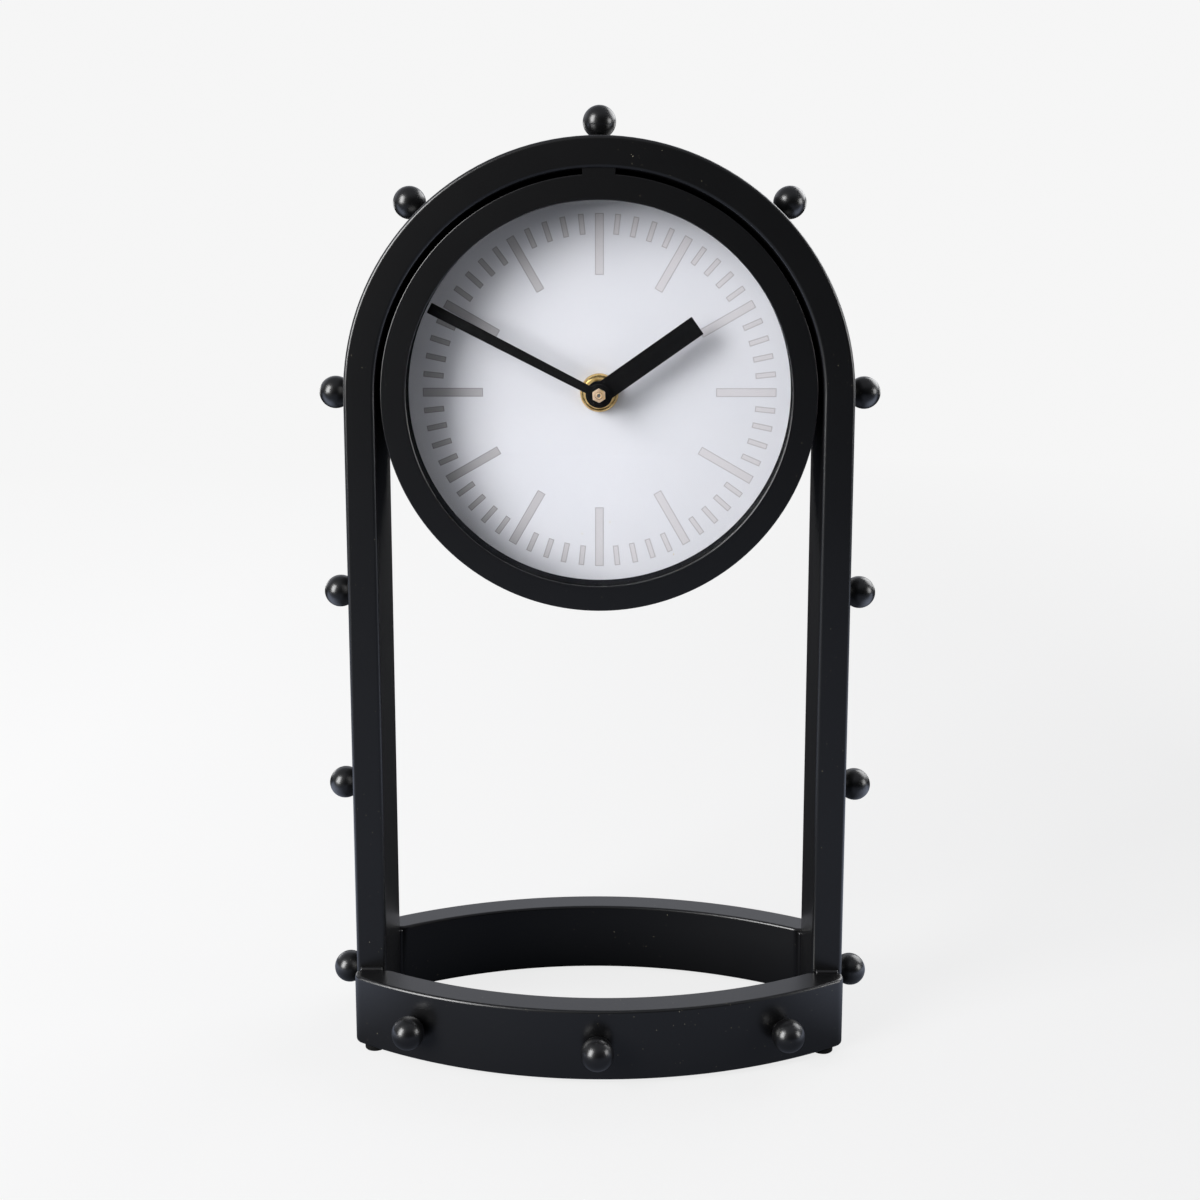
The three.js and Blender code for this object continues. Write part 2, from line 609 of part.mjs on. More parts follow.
// Drive: the circuit board on the case's floor with the motor coil on it
const circuitLeft = -caseHalf + CASE_WALL + CIRCUIT_MARGIN;
const circuitRight = circuitLeft + CIRCUIT_WIDTH;
const circuitTop = caseTopZ - CASE_WALL - CIRCUIT_MARGIN;
const circuitBottom = circuitTop - CIRCUIT_HEIGHT;
const circuitBackY = caseFloorY - SEAT;
const circuitFrontY = circuitBackY - CIRCUIT_THICKNESS;
const circuit = box(circuitLeft, circuitRight, circuitFrontY, circuitBackY, circuitBottom, circuitTop);
add(drum, 'circuit_board', circuit, CIRCUIT_GREEN);
const coil = add(drum, 'motor_coil', rod(COIL_RADIUS, 0, COIL_LENGTH), COPPER);
coil.rotation.z = -Math.PI / 2;
coil.position.x = (circuitLeft + circuitRight - COIL_LENGTH) / 2;
coil.position.y = circuitFrontY - SEAT - COIL_RADIUS;
coil.position.z = (circuitBottom + circuitTop) / 2;

// Battery with a contact at each end of its bay
function batteryGeometry() {
  const shoulder = BATTERY_LENGTH - BATTERY_CAP_LENGTH;
  return turned([
    [0, 0],
    [BATTERY_RADIUS, 0],
    [BATTERY_RADIUS, shoulder],
    [BATTERY_CAP_RADIUS, shoulder],
    [BATTERY_CAP_RADIUS, BATTERY_LENGTH],
    [0, BATTERY_LENGTH],
  ], 2 * SHAFT_STEPS);
}

function contactGeometry(dimple) {
  const half = CONTACT_SIZE / 2;
  const leaf = box(-half, half, 0, CONTACT_THICKNESS, -half, half);
  if (dimple === 0) return leaf;
  return join(leaf, rod(CONTACT_DIMPLE_RADIUS, 0, CONTACT_THICKNESS + dimple));
}

function addAlongBay(name, geometry, finish, x) {
  const mesh = add(drum, name, geometry, finish);
  mesh.rotation.z = -Math.PI / 2;
  mesh.position.set(x, batteryY, batteryZ);
}

const springX = -bayLength / 2 + SEAT;
const batteryX = springX + CONTACT_THICKNESS + CONTACT_DIMPLE + SEAT;
const leafX = batteryX + BATTERY_LENGTH + SEAT;
addAlongBay('spring_contact', contactGeometry(CONTACT_DIMPLE), STEEL, springX);
addAlongBay('battery', batteryGeometry(), BATTERY_SLEEVE, batteryX);
addAlongBay('leaf_contact', contactGeometry(0), STEEL, leafX);

// Gear outline with involute flanks, one tooth pointing at the given angle from +X
function gearOutline(teeth, module, angle) {
  const pitch = module * teeth / 2;
  const base = pitch * Math.cos(PRESSURE_ANGLE);
  const involute = (radius) => {
    const slope = Math.acos(Math.min(1, base / radius));
    return Math.tan(slope) - slope;
  };
  const pitchHalf = Math.PI / 2 / teeth * (1 - TOOTH_THINNING);
  const radii = [pitch - TOOTH_DEDENDUM * module, pitch, pitch + TOOTH_ADDENDUM * module];
  const flank = radii.map((radius) => [radius, pitchHalf + involute(pitch) - involute(radius)]);
  const points = [];
  for (let tooth = 0; tooth < teeth; tooth += 1) {
    const middle = angle + tooth * 2 * Math.PI / teeth;
    const rising = flank.map(([radius, half]) => [radius, middle - half]);
    const falling = flank.map(([radius, half]) => [radius, middle + half]).reverse();
    for (const [radius, at] of [...rising, ...falling]) {
      points.push(new THREE.Vector2(radius * Math.cos(at), radius * Math.sin(at)));
    }
  }
  return new THREE.Shape(points);
}

// Motion work, in mesh along the line from the centre to the minute wheel
const towardsWheel = Math.PI / 2 - WHEEL_DIRECTION;
const towardsCentre = towardsWheel + Math.PI;

function minuteArborGeometry() {
  const outline = gearOutline(CANNON_TEETH, GEAR_MODULE, towardsWheel);
  const pinion = plate(outline, minuteWheelY, minuteWheelBackY);
  const arbor = rod(MINUTE_ARBOR_RADIUS, handNutFrontY + SEAT, minuteWheelBackY);
  const bore = rod(SECONDS_RADIUS + MINUTE_BORE_CLEARANCE, handNutFrontY - BEHIND, caseBackY);
  return cut(join(arbor, pinion), bore);
}

function minuteWheelGeometry() {
  const wheelPhase = towardsCentre + Math.PI / MINUTE_WHEEL_TEETH;
  const wheelOutline = gearOutline(MINUTE_WHEEL_TEETH, GEAR_MODULE, wheelPhase);
  const pinionOutline = gearOutline(MINUTE_PINION_TEETH, pinionModule, towardsCentre);
  const wheel = plate(wheelOutline, minuteWheelY, minuteWheelBackY);
  const pinion = plate(pinionOutline, hourWheelY, minuteWheelY);
  const arbor = rod(WHEEL_ARBOR_RADIUS, caseFrontY, caseBackY + KNOB_BORE);
  return join(arbor, wheel, pinion);
}

function hourWheelGeometry() {
  const phase = towardsWheel + Math.PI / HOUR_WHEEL_TEETH;
  const wheel = plate(gearOutline(HOUR_WHEEL_TEETH, pinionModule, phase), hourWheelY, hourWheelBackY);
  const pipe = rod(hourPipeRadius, hourHandFrontY - SEAT, hourWheelBackY);
  return cut(join(wheel, pipe), rod(hourPipeBore, hourHandFrontY - BEHIND, caseBackY));
}

function secondsArborGeometry() {
  const arbor = rod(SECONDS_RADIUS, handNutFrontY, caseFloorY - SEAT);
  const wheelBackY = secondsWheelY + SECONDS_WHEEL_THICKNESS;
  return join(arbor, rod(SECONDS_WHEEL_RADIUS, secondsWheelY, wheelBackY, 2 * SHAFT_STEPS));
}

function knobGeometry() {
  const points = [];
  const steps = 2 * KNOB_LOBES;
  for (let step = 0; step < steps; step += 1) {
    const radius = KNOB_RADIUS - (step % 2) * KNOB_LOBE_DEPTH;
    const angle = step * 2 * Math.PI / steps;
    points.push(new THREE.Vector2(radius * Math.cos(angle), radius * Math.sin(angle)));
  }
  const frontY = caseBackY + SEAT;
  const body = plate(new THREE.Shape(points), frontY, frontY + KNOB_HEIGHT);
  return cut(body, rod(WHEEL_ARBOR_RADIUS + GRIP, frontY - BEHIND, frontY + KNOB_BORE));
}

add(drum, 'minute_arbor', minuteArborGeometry(), BRASS);
add(drum, 'hour_wheel', hourWheelGeometry(), PALE_PLASTIC);
add(drum, 'seconds_arbor', secondsArborGeometry(), STEEL);
const setting = new THREE.Group();
setting.position.set(wheelX, 0, wheelZ);
drum.add(setting);
add(setting, 'minute_wheel', minuteWheelGeometry(), PALE_PLASTIC);
add(setting, 'setting_knob', knobGeometry(), BLACK_PLASTIC);

// Hands: flat blades that point to twelve, each on a round hub with a collar behind
function bladeOutline(rootWidth, tipWidth, length) {
  const outline = new THREE.Shape();
  outline.moveTo(-rootWidth / 2, 0);
  outline.lineTo(rootWidth / 2, 0);
  outline.lineTo(tipWidth / 2, length);
  outline.lineTo(-tipWidth / 2, length);
  outline.closePath();
  return outline;
}

function handGeometry(outline, frontY, hubRadius, collarRadius, boreRadius) {
  const backY = frontY + HAND_THICKNESS;
  const blade = plate(outline, frontY, backY);
  const hub = rod(hubRadius, frontY, backY, 2 * SHAFT_STEPS);
  const collar = rod(collarRadius, frontY, backY + COLLAR_LENGTH);
  return cut(join(blade, hub, collar), rod(boreRadius, frontY - BEHIND, backY + BEHIND));
}

function handNutGeometry() {
  const cornerRadius = HAND_NUT_FLATS / Math.sqrt(3);
  const nut = rod(cornerRadius, handNutFrontY, handNutBackY, HEX_STEPS);
  return cut(nut, rod(MINUTE_ARBOR_RADIUS + GRIP, handNutFrontY - BEHIND, handNutBackY + BEHIND));
}

const hourBlade = bladeOutline(HOUR_HAND_WIDTH, HOUR_HAND_WIDTH, HOUR_HAND_LENGTH);
const hourBore = hourPipeRadius + GRIP;
const hourGeometry = handGeometry(hourBlade, hourHandFrontY, HOUR_HUB_RADIUS, HOUR_COLLAR_RADIUS, hourBore);
add(drum, 'hour_hand', hourGeometry, BLACK_PAINT).rotation.y = hourAngle;
const minuteBlade = bladeOutline(MINUTE_HAND_ROOT, MINUTE_HAND_TIP, minuteHandLength);
const minuteBore = MINUTE_ARBOR_RADIUS + GRIP;
const minuteGeometry = handGeometry(
  minuteBlade,
  minuteHandFrontY,
  MINUTE_HUB_RADIUS,
  MINUTE_COLLAR_RADIUS,
  minuteBore,
);
add(drum, 'minute_hand', minuteGeometry, BLACK_PAINT).rotation.y = minuteAngle;
add(drum, 'hand_nut', handNutGeometry(), BRASS).rotation.y = minuteAngle;

export default clock;
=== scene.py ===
"""Table clock: a round drum clock hung in an arch of black tube with ball studs, on a lens-shaped base."""
import math
from contextlib import contextmanager

import bmesh
import bpy
from bpy.props import FloatProperty, FloatVectorProperty, PointerProperty
from mathutils import Matrix, Vector


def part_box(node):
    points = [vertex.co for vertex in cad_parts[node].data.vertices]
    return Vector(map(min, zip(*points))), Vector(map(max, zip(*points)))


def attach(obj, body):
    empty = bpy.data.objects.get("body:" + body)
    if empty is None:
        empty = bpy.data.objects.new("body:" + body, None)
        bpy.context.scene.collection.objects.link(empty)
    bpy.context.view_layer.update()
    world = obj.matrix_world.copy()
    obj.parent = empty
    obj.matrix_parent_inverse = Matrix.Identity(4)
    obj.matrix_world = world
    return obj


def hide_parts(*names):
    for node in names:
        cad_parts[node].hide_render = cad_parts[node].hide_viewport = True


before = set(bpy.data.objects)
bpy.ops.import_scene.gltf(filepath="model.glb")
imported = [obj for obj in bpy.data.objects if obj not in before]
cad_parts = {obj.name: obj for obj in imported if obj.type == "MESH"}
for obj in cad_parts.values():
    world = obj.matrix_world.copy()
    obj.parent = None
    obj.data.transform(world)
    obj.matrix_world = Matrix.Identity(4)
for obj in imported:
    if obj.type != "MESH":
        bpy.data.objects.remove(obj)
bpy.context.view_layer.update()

bl_info = {
    "name": "Arched Table Clock",
    "version": (1, 0, 0),
    "blender": (4, 5, 0),
    "location": "View3D > Sidebar > Clock",
    "description": "Builds the finished surfaces of an arched table clock round its frame",
    "category": "Add Mesh",
}

MM = 0.001

# Places read from the frame
ARCH_LOW, ARCH_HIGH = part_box("arch_frame")
RAIL_LOW, RAIL_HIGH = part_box("front_rail")
DRUM_LOW, DRUM_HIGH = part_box("drum_case")
ARCH_RADIUS = ARCH_HIGH.x
LEG_BOTTOM = ARCH_LOW.z
MIDDLE_Y = (ARCH_LOW.y + ARCH_HIGH.y) / 2
AXIS_Z = ARCH_HIGH.z - ARCH_RADIUS
CENTRE = Vector((0, MIDDLE_Y, AXIS_Z))
RIM_RADIUS = DRUM_HIGH.x
KNOB_LOW, KNOB_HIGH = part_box("setting_knob")
KNOB_CENTRE = (KNOB_LOW + KNOB_HIGH) / 2
KNOB_RADIUS = (KNOB_HIGH.x - KNOB_LOW.x) / 2

# Directions, and turns that bring a primitive's own Z axis along X or Y
FRONT, BACK = Vector((0, -1, 0)), Vector((0, 1, 0))
LEFT, RIGHT = Vector((-1, 0, 0)), Vector((1, 0, 0))
DOWN = Vector((0, 0, -1))
ALONG_X = (0, math.pi / 2, 0)
ALONG_Y = (math.pi / 2, 0, 0)
MINUTE_ANGLE = math.tau / 60
HOUR_ANGLE = math.tau / 12

# Limits for selecting and shading
ELEMENTS = {"VERT": "verts", "EDGE": "edges", "FACE": "faces"}
FACING = 0.9  # a face looks in a direction when this much of its normal does
NEAR = 0.05 * MM  # how close two places count as the same
SMOOTH_ANGLE = math.radians(35)
KNOB_POINTS = 64  # points round the knob, by twos on its edge and in its grooves

# Finishes
WAVE_RATE = 20  # radians of a wave texture in one unit, at a scale of 1
SHADED_INK = 0.64  # brightness of the ink at the dial's left edge beside its right: painted shade where the bezel shades the dial
UNEVEN = 0.05  # how far roughness strays on turned brass and moulded plastic

# Stage, in metres and watts
STAGE_WHITE = 0.92  # brightness of the backdrop as the camera sees it
CEILING = 0.23  # brightness of the room above the clock
PAPER_SHARE = 0.16  # share of the floor's colour that takes shadows, the rest being its glow
FLOOR_RADIUS = 6
SOFT_BOXES = (  # name, place, width and height, power
    ("Key", (-1.90, -1.53, 1.14), (1.19, 1.95), 66),
    ("Fill", (1.4, -0.35, 0.5), (0.6, 0.6), 5),
    ("Back", (1.45, 1.3, 1.3), (1.8, 1.3), 20),
    ("Low left", (-1.2, 1.5, 0.25), (0.8, 0.4), 2),
    ("Low right", (1.2, 1.5, 0.25), (0.8, 0.4), 2),
)
CAMERA_PLACE = Vector((8.7, -616.3, 318)) * MM
CAMERA_PITCH = math.radians(8.89)
CAMERA_YAW = math.radians(0.78)
CAMERA_SENSOR = 36  # width in millimetres
CAMERA_LENS = 48  # focal length in millimetres
CAMERA_SHIFT = -0.09  # share of the sensor's width


def linear(code):
    """Turns an sRGB hex colour into Blender's linear colour."""
    channels = [int(code[i:i + 2], 16) / 255 for i in (0, 2, 4)]
    return tuple(c / 12.92 if c <= 0.04045 else ((c + 0.055) / 1.055) ** 2.4 for c in channels) + (1.0,)


def length(name, description, millimetres):
    """A property that holds a length."""
    return FloatProperty(name=name, description=description, default=millimetres * MM,
                         precision=5, subtype="DISTANCE", unit="LENGTH")


def colour(name, description, code):
    """A property that holds a colour, given as an sRGB hex value."""
    return FloatVectorProperty(name=name, description=description, default=linear(code),
                               size=4, min=0, max=1, subtype="COLOR")


class ClockFrameSizes(bpy.types.PropertyGroup):
    """Sizes of the arch, the base and the ball studs."""

    tube_face: length("Tube face", "Width of the arch's tube seen from the front", 12)
    tube_wall: length("Tube wall", "Wall of the arch's tube, seen at the foot of each leg", 1.2)
    tube_corner: length("Tube corner", "Radius along the tube's edges", 1.5)
    rail_thickness: length("Rail thickness", "Thickness of each bowed rail", 12)
    rail_end_offset: length("Rail end offset", "From a leg's face to the rail's outer face at its end", 6)
    rail_end: length("Rail end", "Radius of the upright corner at each end of a rail", 2.6)
    rail_corner: length("Rail corner", "Radius along the rail's edges", 1.1)
    weld_radius: length("Weld radius", "Radius of the weld beads between legs and rails", 1.2)
    ball_radius: length("Ball radius", "Radius of the ball studs", 6.35)
    ball_foot: length("Ball foot", "Radius of the neck where a ball meets the tube", 2.8)
    ball_flare: length("Ball flare", "Radius of the weld round a ball's neck", 3.5)
    rail_stud_inset: length("Rail stud inset", "From a rail's end to its outer ball studs", 26)
    foot_edge: length("Foot edge", "Rounding of the rubber feet", 0.4)
    arch_stud_angle: FloatProperty(
        name="Arch stud angle", description="From the top of the arch to its outer ball studs",
        default=math.pi / 4, subtype="ANGLE", unit="ROTATION")


class ClockDrumSizes(bpy.types.PropertyGroup):
    """Sizes of the drum, its dial and its hands."""

    drum_gap: length("Drum gap", "Gap between the drum and the arch, closed by the rear rim", 2)
    rim_weld: length("Rim weld", "How far the weld round the rear rim runs into the arch", 0.5)
    bezel_width: length("Bezel width", "Width of the drum's turned-in front", 9.7)
    bezel_edge: length("Bezel edge", "Radius of the bezel's edges", 0.49)
    drum_wall: length("Drum wall", "Wall of the drum", 1)
    spacer_reveal: length("Spacer reveal", "The inner wall's bore beyond the bezel's inner edge", 1.1)
    hanger_width: length("Hanger width", "Width of the weld that carries the drum", 12.2)
    clamp_hole: length("Clamp hole", "Radius of the hole for the threaded bushing", 4.3)
    tick_outer: length("Tick circle", "Radius of the ticks' outer ends", 68.9)
    hour_tick: length("Hour tick", "Length of an hour tick", 23.5)
    hour_tick_width: length("Hour tick width", "Width of an hour tick", 3.4)
    minute_tick: length("Minute tick", "Length of a minute tick", 7.9)
    minute_tick_width: length("Minute tick width", "Width of a minute tick", 2.2)
    tick_outline: length("Tick outline", "Width of the darker line round a tick", 0.35)
    ink_thickness: length("Ink thickness", "Height of the printed ticks over the card", 0.06)
    nut_radius: length("Nut radius", "Radius of the domed brass nut", 7.5)
    hand_thickness: length("Hand thickness", "Thickness of both hands", 0.8)
    hour_length: length("Hour hand length", "From the centre to the hour hand's tip", 46)
    hour_width: length("Hour hand width", "Width of the hour hand", 8)
    hour_hub: length("Hour hub", "Radius of the hour hand's hub", 5.2)
    minute_length: length("Minute hand length", "From the centre to the minute hand's tip", 72.5)
    minute_root: length("Minute hand root", "Width of the minute hand at its hub", 3.2)
    minute_tip: length("Minute hand tip", "Width of the minute hand at its tip", 4.2)
    minute_hub: length("Minute hub", "Radius of the minute hand's hub", 4.2)
    hour_collar: length("Hour collar", "Radius of the collar behind the hour hand", 3.9)
    minute_collar: length("Minute collar", "Radius of the collar behind the minute hand", 2.6)
    pipe_bore: length("Pipe bore", "Radius of the hour hand's bore, round the hour wheel's pipe", 2.55)
    arbor_bore: length("Arbor bore", "Radius of the bore of the minute hand and its nut", 1.55)
    nut_flats: length("Nut flats", "Width of the hands' nut across its flats", 4.8)
    hour: FloatProperty(name="Hour", description="Hour that the hands show", default=1)
    minute: FloatProperty(name="Minute", description="Minute that the hands show", default=49.55)


class ClockColours(bpy.types.PropertyGroup):
    """Colours of the finishes."""

    powder_coat: colour("Powder coat", "Satin black of the frame and the drum", "0c0c0d")
    coat_speck: colour("Coat speck", "Tiny bare specks in the powder coat", "a9a28c")
    hand_paint: colour("Hand paint", "Black of the hands and the inner wall", "070708")
    card: colour("Card", "Cool white of the dial card", "e6e7ec")
    card_speck: colour("Card speck", "Faint warm specks in the card", "d9cfae")
    ink: colour("Ink", "Pale grey of the ticks", "dbd9dc")
    ink_outline: colour("Ink outline", "Darker line round the ticks", "bebbbe")
    brass: colour("Brass", "Polished brass of the nuts", "e6c684")
    brass_pale: colour("Pale brass", "Dull bright brass of the hands' nut", "f6dcc0")
    brass_dark: colour("Brass tarnish", "Darker brass in the turning marks", "a67c30")
    rubber: colour("Rubber", "Feet and washer", "121212")
    plastic: colour("Black plastic", "Movement and knob", "1a1a1c")
    steel: colour("Steel", "Contacts, battery ends and pin", "b4b5b8")
    board: colour("Fibreboard", "Board behind the dial", "8a6a4a")
    acetal: colour("Acetal", "Pale wheels of the movement", "e6e2d6")
    sleeve: colour("Battery sleeve", "Plain sleeve of the battery", "24405f")
    solder_mask: colour("Solder mask", "Green of the circuit board", "1f5a3a")
    copper: colour("Copper", "Enamelled wire of the motor coil", "b5683a")
    floor: colour("Floor", "Pale studio floor", "f4f4f4")


# Modelling helpers
def deselect_all():
    """Back to object mode with nothing selected."""
    if bpy.context.mode != "OBJECT":
        bpy.ops.object.mode_set(mode="OBJECT")
    bpy.ops.object.select_all(action="DESELECT")


def select(*pieces):
    """Selects these pieces alone, the first one active."""
    deselect_all()
    for piece in pieces:
        piece.select_set(True)
    bpy.context.view_layer.objects.active = pieces[0]


def named(name, scale=(1, 1, 1)):
    """Names the primitive just added and gives it its size, with its place in its mesh."""
    piece = bpy.context.active_object
    piece.name = name
    piece.data.name = name
    piece.scale = scale
    select(piece)
    bpy.ops.object.transform_apply(location=True, rotation=True, scale=True)
    return piece


@contextmanager
def editing(piece):
    """Edit mode on one piece, with all of it selected."""
    select(piece)
    bpy.ops.object.mode_set(mode="EDIT")
    bpy.ops.mesh.select_all(action="SELECT")
    yield
    bpy.ops.object.mode_set(mode="OBJECT")


def choose(piece, kind, test):
    """In edit mode, selects the vertices, edges or faces that pass the test."""
    bpy.ops.mesh.select_mode(type=kind)
    bpy.ops.mesh.select_all(action="DESELECT")
    mesh = bmesh.from_edit_mesh(piece.data)
    mesh.normal_update()
    found = [element for element in getattr(mesh, ELEMENTS[kind]) if test(element)]
    if not found:
        raise RuntimeError(f"{piece.name}: no {kind.lower()} to select")
    for element in found:
        element.select_set(True)
    mesh.select_flush_mode()
    bmesh.update_edit_mesh(piece.data)


def looks(face, direction):
    """True for a face that looks in a direction."""
    return face.normal.dot(direction) > FACING


def extrude(offset):
    """Extrudes what is selected by an offset."""
    bpy.ops.mesh.extrude_region_move(TRANSFORM_OT_translate={"value": offset})


def trim(place, normal):
    """Cuts off what lies beyond a plane and closes the cut."""
    bpy.ops.mesh.select_all(action="SELECT")
    bpy.ops.mesh.bisect(plane_co=place, plane_no=normal, use_fill=True, clear_outer=True,
                        threshold=NEAR / 50)


def facing_out():
    """Merges doubles and turns all faces outwards."""
    bpy.ops.mesh.select_all(action="SELECT")
    bpy.ops.mesh.remove_doubles(threshold=NEAR / 10)
    bpy.ops.mesh.normals_make_consistent(inside=False)


def modify(piece, kind, **settings):
    """Adds a modifier with its settings and applies it."""
    modifier = piece.modifiers.new(kind.title(), kind)
    for name, value in settings.items():
        setattr(modifier, name, value)
    select(piece)
    bpy.ops.object.modifier_apply(modifier=modifier.name)


def round_edges(piece, radius, segments=4, angle=40, clamped=True):
    """Rounds every edge that is sharper than an angle in degrees."""
    modify(piece, "BEVEL", width=radius, segments=segments, limit_method="ANGLE",
           angle_limit=math.radians(angle), use_clamp_overlap=clamped)


def boolean(piece, operation, *tools):
    """Joins tools to a piece or cuts them from it, and removes them."""
    for tool in tools:
        modify(piece, "BOOLEAN", operation=operation, solver="EXACT", object=tool)
        bpy.data.objects.remove(tool)


def disc(name, radius, front, back, x=0, z=AXIS_Z, vertices=96):
    """A round plate or shaft along Y between two places."""
    bpy.ops.mesh.primitive_cylinder_add(vertices=vertices, radius=radius, depth=back - front,
                                        location=(x, (front + back) / 2, z), rotation=ALONG_Y)
    return named(name)


def block(name, low, high):
    """A box between two corners."""
    bpy.ops.mesh.primitive_cube_add(size=1, location=(low + high) / 2)
    return named(name, high - low)


def pierce(piece, radius, outer):
    """Opens a round hole through a disc along Y."""
    with editing(piece):
        choose(piece, "FACE", lambda face: looks(face, FRONT) or looks(face, BACK))
        bpy.ops.mesh.inset(thickness=outer - radius)
        bpy.ops.mesh.bridge_edge_loops()
        facing_out()


def moved_copy(piece, name, matrix):
    """A copy with its own mesh, moved by a matrix."""
    copy = piece.copy()
    copy.data = piece.data.copy()
    copy.name = name
    copy.data.name = name
    bpy.context.scene.collection.objects.link(copy)
    copy.data.transform(matrix)
    return copy


def drum_radius(scene):
    """Radius of the drum's outside, which hangs clear of the arch."""
    return ARCH_RADIUS - scene.clock_frame.tube_face - scene.clock_drum.drum_gap


def rail_arc(sizes):
    """Radius and centre of the front rail's outer arc, worked out from its bow."""
    bulge = ARCH_LOW.y - sizes.rail_end_offset - RAIL_LOW.y
    radius = (ARCH_RADIUS ** 2 + bulge ** 2) / (2 * bulge)
    return radius, Vector((0, RAIL_LOW.y + radius, 0))


def about_axis(angle):
    """A turn about the drum's axis, clockwise seen from the front."""
    return Matrix.Translation(CENTRE) @ Matrix.Rotation(angle, 4, "Y") @ Matrix.Translation(-CENTRE)


def dress(piece, finish, body="frame", nodes=()):
    """Shades a piece, gives it its finish, ties it to its body and hides the nodes it stands for."""
    select(piece)
    bpy.ops.object.transform_apply(location=True, rotation=True, scale=True)
    bpy.ops.object.shade_smooth_by_angle(angle=SMOOTH_ANGLE)
    modify(piece, "WEIGHTED_NORMAL", keep_sharp=True)
    if not piece.data.materials:
        piece.data.materials.append(finish)
    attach(piece, body)
    if nodes:
        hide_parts(*nodes)


# Materials
def per_mm(millimetres):
    """A texture's scale on Object coordinates for a pattern of this real size."""
    return 1 / (millimetres * MM)


def waves_per_mm(millimetres):
    """A wave texture's scale for waves of this real length."""
    return 2 * math.pi * per_mm(millimetres) / WAVE_RATE


def node(tree, kind, inputs=None, **settings):
    """Adds a node, sets its settings and inputs, and links the inputs that come from other nodes.

    An input goes by its name, or by its number where inputs share a name. A node that is given as an
    input stands for its first output in use.
    """
    made = tree.nodes.new("ShaderNode" + kind)
    for name, value in settings.items():
        setattr(made, name, value)
    for name, value in (inputs or {}).items():
        if isinstance(name, int):
            socket = made.inputs[name]
        else:
            socket = next(entry for entry in made.inputs if entry.enabled and entry.name == name)
        if isinstance(value, bpy.types.Node):
            value = next(entry for entry in value.outputs if entry.enabled)
        if isinstance(value, bpy.types.NodeSocket):
            tree.links.new(value, socket)
        else:
            socket.default_value = value
    return made


def new_finish(name):
    """An empty material, with its node tree and the Object coordinates that its patterns read."""
    finish = bpy.data.materials.new(name)
    finish.use_nodes = True
    tree = finish.node_tree
    tree.nodes.clear()
    return finish, tree, node(tree, "TexCoord").outputs["Object"]


def powder_coat(colours):
    """Satin powder coat on steel: a soft dark sheen under a thin glossy skin, with rare bare specks."""
    finish, tree, place = new_finish("Satin powder coat")
    peel = node(tree, "TexNoise", {"Vector": place, "Scale": per_mm(0.7), "Detail": 3})
    cloud = node(tree, "TexNoise", {"Vector": place, "Scale": per_mm(22), "Detail": 3})
    dots = node(tree, "TexNoise", {"Vector": place, "Scale": per_mm(0.75), "Detail": 1})
    areas = node(tree, "TexNoise", {"Vector": place, "Scale": per_mm(40), "Detail": 1})
    speck = node(tree, "MapRange", {"Value": dots, "From Min": 0.78, "From Max": 0.81})
    patch = node(tree, "MapRange", {"Value": areas, "From Min": 0.52, "From Max": 0.60})
    bare = node(tree, "Math", {0: speck, 1: patch}, operation="MULTIPLY")
    tone = node(tree, "Mix", {"Factor": bare, "A": colours.powder_coat, "B": colours.coat_speck},
                data_type="RGBA")
    sheen = node(tree, "MapRange", {"Value": cloud, "From Min": 0.3, "From Max": 0.7,
                                    "To Min": 0.41, "To Max": 0.49})
    relief = node(tree, "Bump", {"Height": peel, "Distance": 0.002 * MM})
    shader = node(tree, "BsdfPrincipled", {
        "Base Color": tone,
        "Roughness": sheen,
        "Specular IOR Level": 0.1,
        "Coat Weight": 1.0,
        "Coat IOR": 1.75,
        "Coat Roughness": 0.28,
        "Normal": relief,
    })
    node(tree, "OutputMaterial", {"Surface": shader})
    return finish


def hand_paint(colours):
    """Semi-matt paint on the hands: nearly even black with a faint spray grain."""
    finish, tree, place = new_finish("Semi-matt black paint")
    grain = node(tree, "TexNoise", {"Vector": place, "Scale": per_mm(0.4), "Detail": 2})
    sheen = node(tree, "MapRange", {"Value": grain, "From Min": 0.3, "From Max": 0.7,
                                    "To Min": 0.42, "To Max": 0.5})
    shader = node(tree, "BsdfPrincipled", {
        "Base Color": colours.hand_paint,
        "Roughness": sheen,
        "Specular IOR Level": 0.2,
        "Normal": node(tree, "Bump", {"Height": grain, "Distance": 0.006 * MM}),
    })
    node(tree, "OutputMaterial", {"Surface": shader})
    return finish


def wall_card(colours):
    """Black flocked card round the inside of the drum: it swallows nearly all the light."""
    finish, tree, place = new_finish("Black flocked card")
    nap = node(tree, "TexNoise", {"Vector": place, "Scale": per_mm(0.5), "Detail": 2})
    shader = node(tree, "BsdfPrincipled", {
        "Base Color": colours.hand_paint,
        "Roughness": 0.95,
        "Specular IOR Level": 0.04,
        "Normal": node(tree, "Bump", {"Height": nap, "Distance": 0.02 * MM}),
    })
    node(tree, "OutputMaterial", {"Surface": shader})
    return finish


